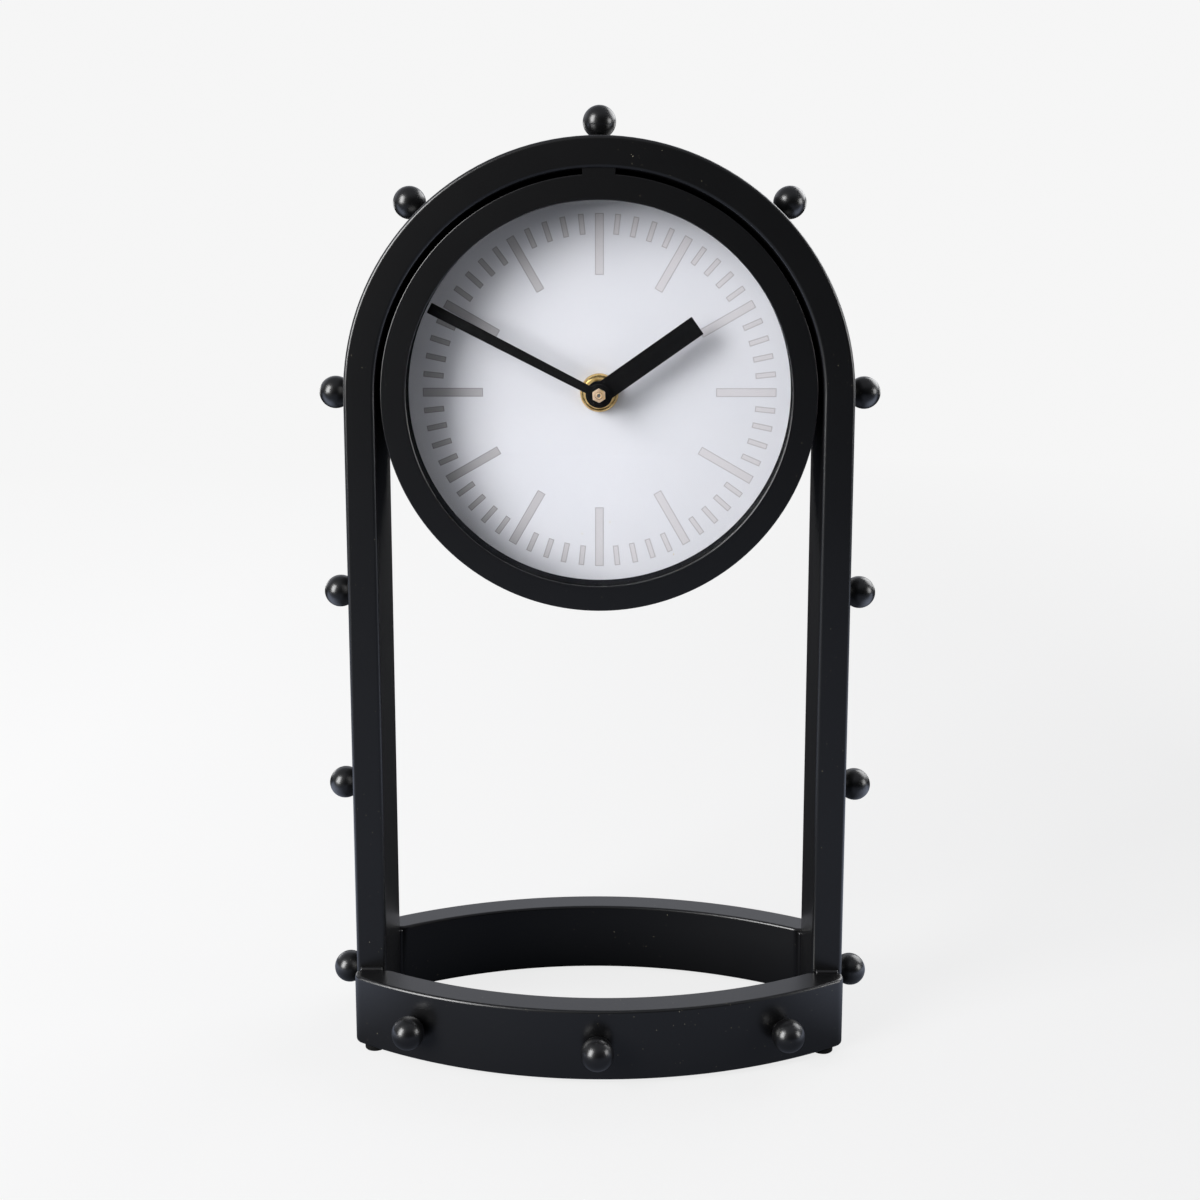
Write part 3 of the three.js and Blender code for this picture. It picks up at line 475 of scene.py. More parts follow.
def dial_card(colours):
    """Uncoated white card: a matt face with faint fibres and a few warm specks."""
    finish, tree, place = new_finish("Uncoated dial card")
    fibre = node(tree, "TexNoise", {"Vector": place, "Scale": per_mm(0.9), "Detail": 5})
    cloud = node(tree, "TexNoise", {"Vector": place, "Scale": per_mm(30), "Detail": 2})
    dots = node(tree, "TexNoise", {"Vector": place, "Scale": per_mm(1.6), "Detail": 1})
    shade = node(tree, "MapRange", {"Value": cloud, "From Min": 0.35, "From Max": 0.65, "To Max": 0.25})
    speck = node(tree, "MapRange", {"Value": dots, "From Min": 0.79, "From Max": 0.82})
    plain = node(tree, "Mix", {"Factor": shade, "A": colours.card, "B": linear("dee1e7")}, data_type="RGBA")
    tone = node(tree, "Mix", {"Factor": speck, "A": plain, "B": colours.card_speck}, data_type="RGBA")
    shader = node(tree, "BsdfPrincipled", {
        "Base Color": tone,
        "Roughness": 0.75,
        "Specular IOR Level": 0.2,
        "Normal": node(tree, "Bump", {"Height": fibre, "Distance": 0.006 * MM}),
    })
    node(tree, "OutputMaterial", {"Surface": shader})
    return finish


def printing_ink(name, tone):
    """Matt printing ink that follows the card's fibres, with painted shade: darker towards the dial's left
    edge, where the bezel casts its shadow.
    """
    finish, tree, place = new_finish(name)
    # Painted shade: the ink darkens towards the dial's left edge, which lies in the bezel's shadow
    shaded_tone = tuple(SHADED_INK * channel for channel in tone[:3]) + (1.0,)
    fibre = node(tree, "TexNoise", {"Vector": place, "Scale": per_mm(0.5), "Detail": 4})
    across = node(tree, "SeparateXYZ", {"Vector": place}).outputs["X"]
    out_of_shade = node(tree, "MapRange", {"Value": across, "From Min": -57 * MM, "From Max": 10 * MM})
    sheen = node(tree, "MapRange", {"Value": fibre, "From Min": 0.3, "From Max": 0.7,
                                    "To Min": 0.55, "To Max": 0.75})
    shader = node(tree, "BsdfPrincipled", {
        "Base Color": node(tree, "Mix", {"Factor": out_of_shade, "A": shaded_tone, "B": tone}, data_type="RGBA"),
        "Roughness": sheen,
        "Specular IOR Level": 0.2,
    })
    node(tree, "OutputMaterial", {"Surface": shader})
    return finish


def turned_brass(name, tone, tarnish, roughness):
    """Turned brass: warm highlights broken by rings about its axis and a little tarnish.

    The rings are drawn wider than a real turning mark, so that they show.
    """
    finish, tree, place = new_finish(name)
    centred = node(tree, "Mapping", {"Vector": place, "Location": (0, 0, -AXIS_Z)})
    rings = node(tree, "TexWave", {"Vector": centred, "Scale": waves_per_mm(2.2), "Distortion": 0.6},
                 wave_type="RINGS", rings_direction="Y").outputs["Fac"]
    stain = node(tree, "TexNoise", {"Vector": place, "Scale": per_mm(2.5), "Detail": 3})
    dull = node(tree, "MapRange", {"Value": stain, "From Min": 0.45, "From Max": 0.75})
    sheen = node(tree, "MapRange", {"Value": rings, "To Min": roughness - UNEVEN,
                                    "To Max": roughness + UNEVEN})
    shader = node(tree, "BsdfPrincipled", {
        "Base Color": node(tree, "Mix", {"Factor": dull, "A": tone, "B": tarnish}, data_type="RGBA"),
        "Metallic": 1.0,
        "Roughness": sheen,
        "Normal": node(tree, "Bump", {"Height": rings, "Distance": 0.004 * MM}),
    })
    node(tree, "OutputMaterial", {"Surface": shader})
    return finish


def plain_steel(colours):
    """Nickel-plated steel strip: grey, with the fine lines of the rolling."""
    finish, tree, place = new_finish("Nickel-plated steel")
    rolled = node(tree, "Mapping", {"Vector": place, "Scale": (1, 1, 0.08)})
    lines = node(tree, "TexNoise", {"Vector": rolled, "Scale": per_mm(0.25), "Detail": 2})
    sheen = node(tree, "MapRange", {"Value": lines, "From Min": 0.3, "From Max": 0.7,
                                    "To Min": 0.24, "To Max": 0.36})
    shader = node(tree, "BsdfPrincipled", {
        "Base Color": colours.steel,
        "Metallic": 1.0,
        "Roughness": sheen,
        "Normal": node(tree, "Bump", {"Height": lines, "Distance": 0.003 * MM}),
    })
    node(tree, "OutputMaterial", {"Surface": shader})
    return finish


def moulded_plastic(name, tone, roughness, grain_mm=0.35):
    """Moulded plastic: the fine grain of an eroded mould, a little glossier where it is worn."""
    finish, tree, place = new_finish(name)
    grain = node(tree, "TexNoise", {"Vector": place, "Scale": per_mm(grain_mm), "Detail": 2})
    worn = node(tree, "TexNoise", {"Vector": place, "Scale": per_mm(14), "Detail": 2})
    sheen = node(tree, "MapRange", {"Value": worn, "From Min": 0.35, "From Max": 0.65,
                                    "To Min": roughness - UNEVEN, "To Max": roughness + UNEVEN})
    shader = node(tree, "BsdfPrincipled", {
        "Base Color": tone,
        "Roughness": sheen,
        "Specular IOR Level": 0.4,
        "Normal": node(tree, "Bump", {"Height": grain, "Distance": 0.01 * MM}),
    })
    node(tree, "OutputMaterial", {"Surface": shader})
    return finish


def foot_rubber(colours):
    """Moulded rubber: dull black with a dusty bloom."""
    finish, tree, place = new_finish("Moulded rubber")
    bloom = node(tree, "TexNoise", {"Vector": place, "Scale": per_mm(2), "Detail": 3})
    dusty = node(tree, "MapRange", {"Value": bloom, "From Min": 0.4, "From Max": 0.7, "To Max": 0.5})
    tone = node(tree, "Mix", {"Factor": dusty, "A": colours.rubber, "B": linear("232322")}, data_type="RGBA")
    shader = node(tree, "BsdfPrincipled", {
        "Base Color": tone,
        "Roughness": 0.85,
        "Specular IOR Level": 0.3,
        "Normal": node(tree, "Bump", {"Height": bloom, "Distance": 0.02 * MM}),
    })
    node(tree, "OutputMaterial", {"Surface": shader})
    return finish


def float_glass():
    """Flat float glass: clear, with a sharp faint reflection, and it lets the lamps through to the dial."""
    finish, tree, place = new_finish("Float glass")
    waver = node(tree, "TexNoise", {"Vector": place, "Scale": per_mm(60), "Detail": 1})
    shader = node(tree, "BsdfPrincipled", {
        "Base Color": linear("ffffff"),
        "Roughness": 0.02,
        "IOR": 1.5,
        "Transmission Weight": 1.0,
        "Normal": node(tree, "Bump", {"Height": waver, "Distance": 0.01 * MM}),
    })
    clear = node(tree, "BsdfTransparent", {"Color": linear("fbfbfc")})
    for_lamps = node(tree, "LightPath").outputs["Is Shadow Ray"]
    both = node(tree, "MixShader", {0: for_lamps, 1: shader, 2: clear})
    node(tree, "OutputMaterial", {"Surface": both})
    return finish


def fibreboard(colours):
    """Raw fibreboard: brown pressed fibres with a rough cut face."""
    finish, tree, place = new_finish("Raw fibreboard")
    fibre = node(tree, "TexNoise", {"Vector": place, "Scale": per_mm(0.8), "Detail": 6})
    dark = node(tree, "MapRange", {"Value": fibre, "From Min": 0.3, "From Max": 0.7})
    shader = node(tree, "BsdfPrincipled", {
        "Base Color": node(tree, "Mix", {"Factor": dark, "A": colours.board, "B": linear("5f452c")},
                           data_type="RGBA"),
        "Roughness": 0.9,
        "Normal": node(tree, "Bump", {"Height": fibre, "Distance": 0.05 * MM}),
    })
    node(tree, "OutputMaterial", {"Surface": shader})
    return finish


def wound_copper(colours):
    """Enamelled copper wire: close turns with a warm gloss.

    The turns are drawn wider than the real wire, so that they show.
    """
    finish, tree, place = new_finish("Enamelled copper wire")
    turns = node(tree, "TexWave", {"Vector": place, "Scale": waves_per_mm(1.9)},
                 wave_type="BANDS", bands_direction="X").outputs["Fac"]
    shader = node(tree, "BsdfPrincipled", {
        "Base Color": colours.copper,
        "Metallic": 1.0,
        "Roughness": 0.3,
        "Normal": node(tree, "Bump", {"Height": turns, "Distance": 0.05 * MM}),
    })
    node(tree, "OutputMaterial", {"Surface": shader})
    return finish


MATERIALS = {}


def finishes(context):
    """All finishes by name, made once."""
    colours = context.scene.clock_colours
    if not MATERIALS:
        MATERIALS.update(
            coat=powder_coat(colours),
            hands=hand_paint(colours),
            wall=wall_card(colours),
            card=dial_card(colours),
            ink=printing_ink("Tick ink", colours.ink),
            outline=printing_ink("Tick outline ink", colours.ink_outline),
            brass=turned_brass("Turned brass", colours.brass, colours.brass_dark, roughness=0.29),
            blasted=turned_brass("Blasted brass", colours.brass_pale, colours.brass, roughness=0.55),
            steel=plain_steel(colours),
            rubber=foot_rubber(colours),
            plastic=moulded_plastic("Black ABS", colours.plastic, roughness=0.5),
            acetal=moulded_plastic("Pale acetal", colours.acetal, roughness=0.38),
            sleeve=moulded_plastic("Battery sleeve film", colours.sleeve, roughness=0.3, grain_mm=3),
            circuit=moulded_plastic("Solder mask", colours.solder_mask, roughness=0.4, grain_mm=0.8),
            glass=float_glass(),
            board=fibreboard(colours),
            copper=wound_copper(colours),
        )
    return MATERIALS


class CLOCK_OT_stage(bpy.types.Operator):
    """Add the floor, the background, the lights and the camera"""

    bl_idname = "clock.stage"
    bl_label = "Stage"

    def execute(self, context):
        scene = context.scene
        deselect_all()
        self.add_floor(scene.clock_colours)
        self.add_background(scene)
        for name, place, size, power in SOFT_BOXES:
            self.add_light(name, Vector(place), size, power)
        self.add_camera(scene)
        scene.view_settings.view_transform = "Standard"
        return {"FINISHED"}

    def add_floor(self, colours):
        """A wide pale disc that fades into the background, with soft shadows near the clock.

        What the clock itself sees of the floor is dim, with a glow in front of it and at its sides.
        """
        bpy.ops.mesh.primitive_circle_add(vertices=96, radius=FLOOR_RADIUS, fill_type="NGON")
        floor = named("studio_floor")
        finish, tree, place = new_finish("Pale studio floor")
        to_camera = node(tree, "LightPath").outputs["Is Camera Ray"]
        axes = node(tree, "SeparateXYZ", {"Vector": place}).outputs
        away = node(tree, "VectorMath", {"Vector": place}, operation="LENGTH").outputs["Value"]
        far = node(tree, "MapRange", {"Value": away, "From Min": 0.5, "From Max": 1.8})

        # The paper that takes the shadows
        grain = node(tree, "TexNoise", {"Vector": place, "Scale": per_mm(4), "Detail": 3})
        relief = node(tree, "Bump", {"Height": grain, "Distance": 0.02 * MM})
        tone = tuple(PAPER_SHARE * channel for channel in colours.floor[:3]) + (1.0,)
        shade = node(tree, "Mix", {"Factor": to_camera, "A": linear("1c1c1c"), "B": tone}, data_type="RGBA")
        faded = node(tree, "Mix", {"Factor": far, "A": shade, "B": linear("000000")}, data_type="RGBA")
        paper = node(tree, "BsdfDiffuse", {"Color": faded, "Normal": relief})

        # What the camera sees: painted light, lighter on the left towards the key and darker on the right,
        # and the backdrop's white far away
        across = node(tree, "MapRange", {"Value": axes["X"], "From Min": -0.35, "From Max": 0.35,
                                         "To Min": 0.845, "To Max": 0.745})
        seen = node(tree, "Mix", {"Factor": far, "A": across, "B": STAGE_WHITE})

        # What the clock sees: a glow in front of it and a stronger one beside it
        ahead = node(tree, "MapRange", {"Value": axes["Y"], "From Min": 0.05, "From Max": -0.1})
        near = node(tree, "MapRange", {"Value": away, "From Min": 2.0, "From Max": 0.3})
        lit = node(tree, "Math", {0: ahead, 1: near}, operation="MULTIPLY")
        front = node(tree, "MapRange", {"Value": lit, "To Min": 0.01, "To Max": 0.2})
        aside = node(tree, "Math", {0: axes["X"]}, operation="ABSOLUTE")
        outside = node(tree, "MapRange", {"Value": aside, "From Min": 0.09, "From Max": 0.25})
        before = node(tree, "MapRange", {"Value": axes["Y"], "From Min": 0.25, "From Max": 0.05})
        behind = node(tree, "MapRange", {"Value": axes["Y"], "From Min": -0.22, "From Max": -0.06})
        beside = node(tree, "Math", {0: outside, 1: before}, operation="MULTIPLY")
        level = node(tree, "Math", {0: beside, 1: behind}, operation="MULTIPLY")
        flank = node(tree, "MapRange", {"Value": level, "To Max": 1.2})
        around = node(tree, "Math", {0: front, 1: flank}, operation="MAXIMUM")

        tint = node(tree, "Mix", {"Factor": to_camera, "A": linear("dce6ff"), "B": linear("ffffff")},
                    data_type="RGBA")
        strength = node(tree, "Mix", {"Factor": to_camera, "A": around, "B": seen})
        glow = node(tree, "Emission", {"Color": tint, "Strength": strength})
        both = node(tree, "AddShader", {0: paper, 1: glow})
        node(tree, "OutputMaterial", {"Surface": both})
        floor.data.materials.append(finish)

    def add_background(self, scene):
        """White behind the clock, and a dim room above it and on the camera's side."""
        world = bpy.data.worlds.new("Studio")
        world.use_nodes = True
        scene.world = world
        tree = world.node_tree
        tree.nodes.clear()
        to_camera = node(tree, "LightPath").outputs["Is Camera Ray"]
        direction = node(tree, "TexCoord").outputs["Generated"]
        axes = node(tree, "SeparateXYZ", {"Vector": direction}).outputs
        behind = node(tree, "MapRange", {"Value": axes["Y"], "From Min": -0.1, "From Max": 0.4,
                                         "To Min": 0.035, "To Max": 0.6})
        raised = node(tree, "MapRange", {"Value": axes["Z"], "From Max": 0.3, "To Min": 0.05})
        level = node(tree, "Math", {0: behind, 1: raised}, operation="MULTIPLY")
        above = node(tree, "MapRange", {"Value": axes["Z"], "From Min": 0.45, "From Max": 0.8})
        around = node(tree, "Mix", {"Factor": above, "A": level, "B": CEILING})
        strength = node(tree, "Mix", {"Factor": to_camera, "A": around, "B": STAGE_WHITE})
        tint = node(tree, "Mix", {"Factor": to_camera, "A": linear("f2f5ff"), "B": linear("ffffff")},
                    data_type="RGBA")
        backdrop = node(tree, "Background", {"Color": tint, "Strength": strength})
        node(tree, "OutputWorld", {"Surface": backdrop})

    def add_light(self, name, place, size, power):
        """A soft box that looks at the dial."""
        bpy.ops.object.light_add(type="AREA", location=place)
        light = bpy.context.active_object
        light.name = name
        light.data.shape = "RECTANGLE"
        light.data.size, light.data.size_y = size
        light.data.energy = power
        light.visible_camera = False
        light.rotation_euler = (CENTRE - place).to_track_quat("-Z", "Y").to_euler()

    def add_camera(self, scene):
        """The photograph's view: from above the dial's centre and a little to the right."""
        bpy.ops.object.camera_add(location=CAMERA_PLACE,
                                  rotation=(math.pi / 2 - CAMERA_PITCH, 0, CAMERA_YAW))
        camera = bpy.context.active_object
        camera.name = "Camera"
        camera.data.sensor_width = CAMERA_SENSOR
        camera.data.lens = CAMERA_LENS
        camera.data.shift_y = CAMERA_SHIFT
        scene.camera = camera


class CLOCK_OT_arch(bpy.types.Operator):
    """Add the arch of bent rectangular tube"""

    bl_idname = "clock.arch"
    bl_label = "Tube Arch"

    def execute(self, context):
        sizes = context.scene.clock_frame
        face = sizes.tube_face
        depth = ARCH_HIGH.y - ARCH_LOW.y
        leg = Vector((0, 0, AXIS_Z - LEG_BOTTOM))
        hollow = leg * 0.2  # how far the open end of each leg is hollowed out
        deselect_all()
        bpy.ops.mesh.primitive_plane_add(size=1, location=(ARCH_RADIUS - face / 2, MIDDLE_Y, LEG_BOTTOM))
        arch = named("tube_arch", (face, depth, 1))
        with editing(arch):
            extrude(leg)
            bpy.ops.mesh.spin(steps=72, angle=math.pi, center=CENTRE, axis=(0, 1, 0))
            extrude(-leg)
            facing_out()
            choose(arch, "EDGE", self.runs_along_corner)
            bpy.ops.mesh.bevel(offset=sizes.tube_corner, segments=5, affect="EDGES")
            choose(arch, "FACE", self.ends_leg)
            bpy.ops.mesh.inset(thickness=sizes.tube_wall)
            extrude(hollow)
        dress(arch, finishes(context)["coat"], nodes=["arch_frame"])
        return {"FINISHED"}

    def runs_along_corner(self, edge):
        """True for the edges along the tube, and not for those round its section."""
        sharp = math.radians(60)
        if len(edge.link_faces) < 2 or edge.calc_face_angle() < sharp:
            return False
        return any(vert.co.z > LEG_BOTTOM + NEAR for vert in edge.verts)

    def ends_leg(self, face):
        """True for the face at the foot of a leg."""
        return looks(face, DOWN) and face.calc_center_median().z < LEG_BOTTOM + NEAR


class CLOCK_OT_rails(bpy.types.Operator):
    """Add the two bowed rails of the base and the weld beads at the legs"""

    bl_idname = "clock.rails"
    bl_label = "Bowed Rails"

    def execute(self, context):
        sizes = context.scene.clock_frame
        front = self.add_rail(sizes)
        half_turn = Matrix.Translation((0, MIDDLE_Y, 0)) @ Matrix.Rotation(math.pi, 4, "Z")
        half_turn = half_turn @ Matrix.Translation((0, -MIDDLE_Y, 0))
        rear = moved_copy(front, "bowed_rail_rear", half_turn)
        coat = finishes(context)["coat"]
        dress(front, coat, nodes=["front_rail"])
        dress(rear, coat, nodes=["rear_rail"])
        dress(self.add_welds(sizes, half_turn), coat)
        return {"FINISHED"}

    def add_rail(self, sizes):
        """The front rail: a section spun round its arc and cut square at the legs."""
        radius, centre = rail_arc(sizes)
        height = RAIL_HIGH.z - RAIL_LOW.z
        overshoot = 1.15  # spun past the legs, so that the cuts have something to cut
        reach = math.asin(ARCH_RADIUS / radius) * overshoot
        middle = radius - sizes.rail_thickness / 2
        place = centre + Vector((-middle * math.sin(reach), -middle * math.cos(reach), 0))
        place.z = (RAIL_LOW.z + RAIL_HIGH.z) / 2
        deselect_all()
        bpy.ops.mesh.primitive_plane_add(size=1, location=place, rotation=(0, math.pi / 2, -reach))
        rail = named("bowed_rail_front", (height, sizes.rail_thickness, 1))
        with editing(rail):
            bpy.ops.mesh.spin(steps=62, angle=2 * reach, center=centre, axis=(0, 0, -1))
            facing_out()
            for side in (-1, 1):
                trim((side * ARCH_RADIUS, 0, 0), (side, 0, 0))
            trim((0, RAIL_HIGH.y, 0), BACK)
            facing_out()
            # Merges the strips that the spin left on flat faces, because they fold the bevel
            bpy.ops.mesh.dissolve_limited(angle_limit=math.radians(0.2))
            choose(rail, "EDGE", self.ends_outside)
            bpy.ops.mesh.bevel(offset=sizes.rail_end, segments=6, affect="EDGES")
        round_edges(rail, sizes.rail_corner, angle=50, clamped=False)
        return rail

    def ends_outside(self, edge):
        """True for the upright edge at the outer end of the rail's bow."""
        low, high = sorted((vert.co for vert in edge.verts), key=lambda place: place.z)
        upright = high.z - low.z > (RAIL_HIGH.z - RAIL_LOW.z) / 2
        return upright and abs(low.x) > ARCH_RADIUS - NEAR and low.y < RAIL_HIGH.y - MM

    def add_welds(self, sizes, half_turn):
        """Smooth beads where the rails meet the legs: one across each leg and one up its inner edge."""
        seam_y = (ARCH_LOW.y + RAIL_HIGH.y) / 2
        inner_x = ARCH_RADIUS - sizes.tube_face
        across = sizes.tube_face - 2 * sizes.tube_corner
        up = RAIL_HIGH.z - RAIL_LOW.z - 2 * sizes.rail_corner
        blunt = 0.6 * sizes.weld_radius
        beads = []
        for side in (-1, 1):
            places = [
                ((side * (ARCH_RADIUS - sizes.tube_face / 2), seam_y, RAIL_HIGH.z), ALONG_X, across),
                ((side * inner_x, seam_y, (RAIL_LOW.z + RAIL_HIGH.z) / 2), (0, 0, 0), up),
            ]
            for place, turn, run in places:
                deselect_all()
                bpy.ops.mesh.primitive_cylinder_add(vertices=20, radius=sizes.weld_radius, depth=run,
                                                    location=place, rotation=turn)
                bead = named("weld_bead")
                round_edges(bead, blunt)
                beads.append(bead)
        beads += [moved_copy(bead, "weld_bead_rear", half_turn) for bead in beads]
        select(*beads)
        bpy.ops.object.join()
        welds = bpy.context.active_object
        welds.name = "base_welds"
        return welds


class CLOCK_OT_studs(bpy.types.Operator):
    """Add the ball studs on the arch, the legs and the front rail"""

    bl_idname = "clock.studs"
    bl_label = "Ball Studs"

    def execute(self, context):
        sizes = context.scene.clock_frame
        model = self.add_ball(sizes)
        coat = finishes(context)["coat"]
        for node_name, place, direction in self.seats(sizes):
            turn = Vector((0, 0, 1)).rotation_difference(direction).to_matrix().to_4x4()
            stud = moved_copy(model, "ball_" + node_name, Matrix.Translation(place) @ turn)
            dress(stud, coat, nodes=[node_name])
        bpy.data.objects.remove(model)
        return {"FINISHED"}

    def add_ball(self, sizes):
        """One ball on a short neck that flares where it is welded on, along Z from its seat."""
        radius = sizes.ball_radius
        flat = math.sqrt(radius ** 2 - sizes.ball_foot ** 2)
        neck = 0.3 * MM
        straight, sunk = 0.6 * neck, 0.9 * neck  # the flare ends inside the tube
        deselect_all()
        bpy.ops.mesh.primitive_uv_sphere_add(segments=48, ring_count=32, radius=radius,
                                             location=(0, 0, neck + flat))
        ball = named("ball_model")
        with editing(ball):
            trim((0, 0, neck), DOWN)
            choose(ball, "FACE", lambda f: looks(f, DOWN) and abs(f.calc_center_median().z - neck) < NEAR)
            extrude(DOWN * straight)
            extrude(DOWN * sunk)
            swell = sizes.ball_flare / sizes.ball_foot
            bpy.ops.transform.resize(value=(swell, swell, 1))
        return ball

    def seats(self, sizes):
        """Each stud's node with its seat and the direction it points in."""
        sides = (("left", -1), ("centre", 0), ("right", 1))
        for side, turn in sides:
            angle = turn * sizes.arch_stud_angle
            direction = Vector((math.sin(angle), 0, math.cos(angle)))
            yield f"arch_stud_{side}", CENTRE + direction * ARCH_RADIUS, direction
        for side, turn in (("left", -1), ("right", 1)):
            for row in range(1, 5):
                low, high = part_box(f"leg_stud_{side}_{row}")
                place = Vector((turn * ARCH_RADIUS, MIDDLE_Y, (low.z + high.z) / 2))
                yield f"leg_stud_{side}_{row}", place, Vector((turn, 0, 0))
        radius, centre = rail_arc(sizes)
        for side, turn in sides:
            angle = math.asin(turn * (ARCH_RADIUS - sizes.rail_stud_inset) / radius)
            direction = Vector((math.sin(angle), -math.cos(angle), 0))
            place = centre + direction * radius
            place.z = (RAIL_LOW.z + RAIL_HIGH.z) / 2
            yield f"rail_stud_{side}", place, direction


class CLOCK_OT_feet(bpy.types.Operator):
    """Add the four rubber feet"""

    bl_idname = "clock.feet"
    bl_label = "Rubber Feet"

    def execute(self, context):
        sizes = context.scene.clock_frame
        rim, dish = 1.4 * MM, 0.3 * MM
        for end in ("front", "rear"):
            for side in ("left", "right"):
                name = f"foot_{end}_{side}"
                low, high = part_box(name)
                deselect_all()
                bpy.ops.mesh.primitive_cylinder_add(
                    vertices=48, radius=(high.x - low.x) / 2, depth=LEG_BOTTOM,
                    location=((low.x + high.x) / 2, (low.y + high.y) / 2, LEG_BOTTOM / 2))
                foot = named("pad_" + name)
                with editing(foot):
                    choose(foot, "FACE", lambda f: looks(f, DOWN))
                    bpy.ops.mesh.inset(thickness=rim)
                    bpy.ops.transform.translate(value=-DOWN * dish)
                round_edges(foot, sizes.foot_edge)
                dress(foot, finishes(context)["rubber"], nodes=[name])
        return {"FINISHED"}


class CLOCK_OT_drum(bpy.types.Operator):
    """Add the drum with its bezel and the weld that carries it"""

    bl_idname = "clock.drum"
    bl_label = "Drum"

    def execute(self, context):
        sizes = context.scene.clock_drum
        coat = finishes(context)["coat"]
        radius = drum_radius(context.scene)
        back = DRUM_HIGH.y - sizes.drum_wall
        deselect_all()
        drum = disc("bezel_drum", radius, DRUM_LOW.y, back, vertices=192)
        with editing(drum):
            choose(drum, "FACE", lambda f: looks(f, FRONT))
            bpy.ops.mesh.inset(thickness=sizes.bezel_width)
            bpy.ops.mesh.delete(type="FACE")
            choose(drum, "FACE", lambda f: looks(f, BACK))
            bpy.ops.mesh.delete(type="FACE")
            choose(drum, "EDGE", lambda e: all(v.co.y > back - NEAR for v in e.verts))
            extrude((0, 0, 0))
            flare = (RIM_RADIUS + sizes.rim_weld) / radius
            bpy.ops.transform.resize(value=(flare, 1, flare), center_override=CENTRE)
        modify(drum, "SOLIDIFY", thickness=sizes.drum_wall, offset=-1, use_even_offset=True)
        round_edges(drum, sizes.bezel_edge, angle=60)
        dress(drum, coat, nodes=["drum_case"])
        dress(self.add_bridge(sizes, radius), coat, nodes=["hanger_tab"])
        return {"FINISHED"}

    def add_bridge(self, sizes, radius):
        """The weld between drum and arch at twelve o'clock, ground flush with the bezel and the tube."""
        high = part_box("hanger_tab")[1]
        inside, outside = 0.8 * MM, 0.4 * MM  # how far it runs into the drum and the arch
        proud = 0.012 * MM  # keeps its face clear of the bezel's
        reach = sizes.hanger_width / 2 / radius
        run = inside + sizes.drum_gap + outside
        middle = radius - inside + run / 2
        place = CENTRE + Vector((-middle * math.sin(reach), 0, middle * math.cos(reach)))
        place.y = (DRUM_LOW.y + high.y) / 2
        deselect_all()
        bpy.ops.mesh.primitive_plane_add(size=1, location=place, rotation=(0, math.pi / 2 - reach, 0))
        bridge = named("weld_bridge", (run, high.y - DRUM_LOW.y, 1))
        with editing(bridge):
            bpy.ops.mesh.spin(steps=16, angle=2 * reach, center=CENTRE, axis=(0, -1, 0))
            facing_out()
            choose(bridge, "FACE", lambda f: looks(f, FRONT))
            bpy.ops.transform.translate(value=FRONT * proud)
        return bridge


class CLOCK_OT_lens(bpy.types.Operator):
    """Add the glass and the dark wall behind it"""

    bl_idname = "clock.lens"
    bl_label = "Glass and Inner Wall"

    def execute(self, context):
        sizes = context.scene.clock_drum
        made = finishes(context)
        deselect_all()
        low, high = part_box("glass_lens")
        glass = disc("clear_lens", high.x, low.y, high.y, vertices=192)
        round_edges(glass, radius=0.25 * MM, segments=2)
        dress(glass, made["glass"], nodes=["glass_lens"])
        low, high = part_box("spacer_ring")
        bore = drum_radius(context.scene) - sizes.bezel_width + sizes.spacer_reveal
        deselect_all()
        wall = disc("inner_wall", high.x, low.y, high.y, vertices=192)
        pierce(wall, bore, high.x)
        round_edges(wall, radius=0.2 * MM, segments=2)
        dress(wall, made["wall"], nodes=["spacer_ring"])
        return {"FINISHED"}


class CLOCK_OT_dial(bpy.types.Operator):
    """Add the dial card with its printed ticks"""

    bl_idname = "clock.dial"
    bl_label = "Dial"

    def execute(self, context):
        sizes = context.scene.clock_drum
        made = finishes(context)
        low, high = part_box("dial")
        deselect_all()
        card = disc("dial_face", high.x, low.y, high.y, vertices=192)
        pierce(card, sizes.clamp_hole, high.x)
        dress(card, made["card"], nodes=["dial"])
        inks = (made["outline"], made["ink"])
        hour = self.add_tick("hour_tick", sizes, sizes.hour_tick, sizes.hour_tick_width, low.y, inks)
        minute = self.add_tick("minute_tick", sizes, sizes.minute_tick, sizes.minute_tick_width, low.y, inks)
        ticks = []
        for step in range(60):
            model = minute if step % 5 else hour
            ticks.append(moved_copy(model, "dial_ticks", about_axis(step * MINUTE_ANGLE)))
        for model in (hour, minute):
            bpy.data.objects.remove(model)
        select(*ticks)
        bpy.ops.object.join()
        dress(bpy.context.active_object, made["ink"])
        return {"FINISHED"}

    def add_tick(self, name, sizes, run, width, face_y, inks):
        """One tick at twelve o'clock: a thin layer of ink with a darker outline."""
        deselect_all()
        place = (0, face_y, AXIS_Z + sizes.tick_outer - run / 2)
        bpy.ops.mesh.primitive_plane_add(size=1, location=place, rotation=ALONG_Y)
        tick = named(name, (width, run, 1))
        for ink in inks:
            tick.data.materials.append(ink)
        with editing(tick):
            extrude(FRONT * sizes.ink_thickness)
            facing_out()
            choose(tick, "FACE", lambda f: looks(f, FRONT))
            bpy.ops.mesh.inset(thickness=sizes.tick_outline)
            tick.active_material_index = 1
            bpy.ops.object.material_slot_assign()
        return tick


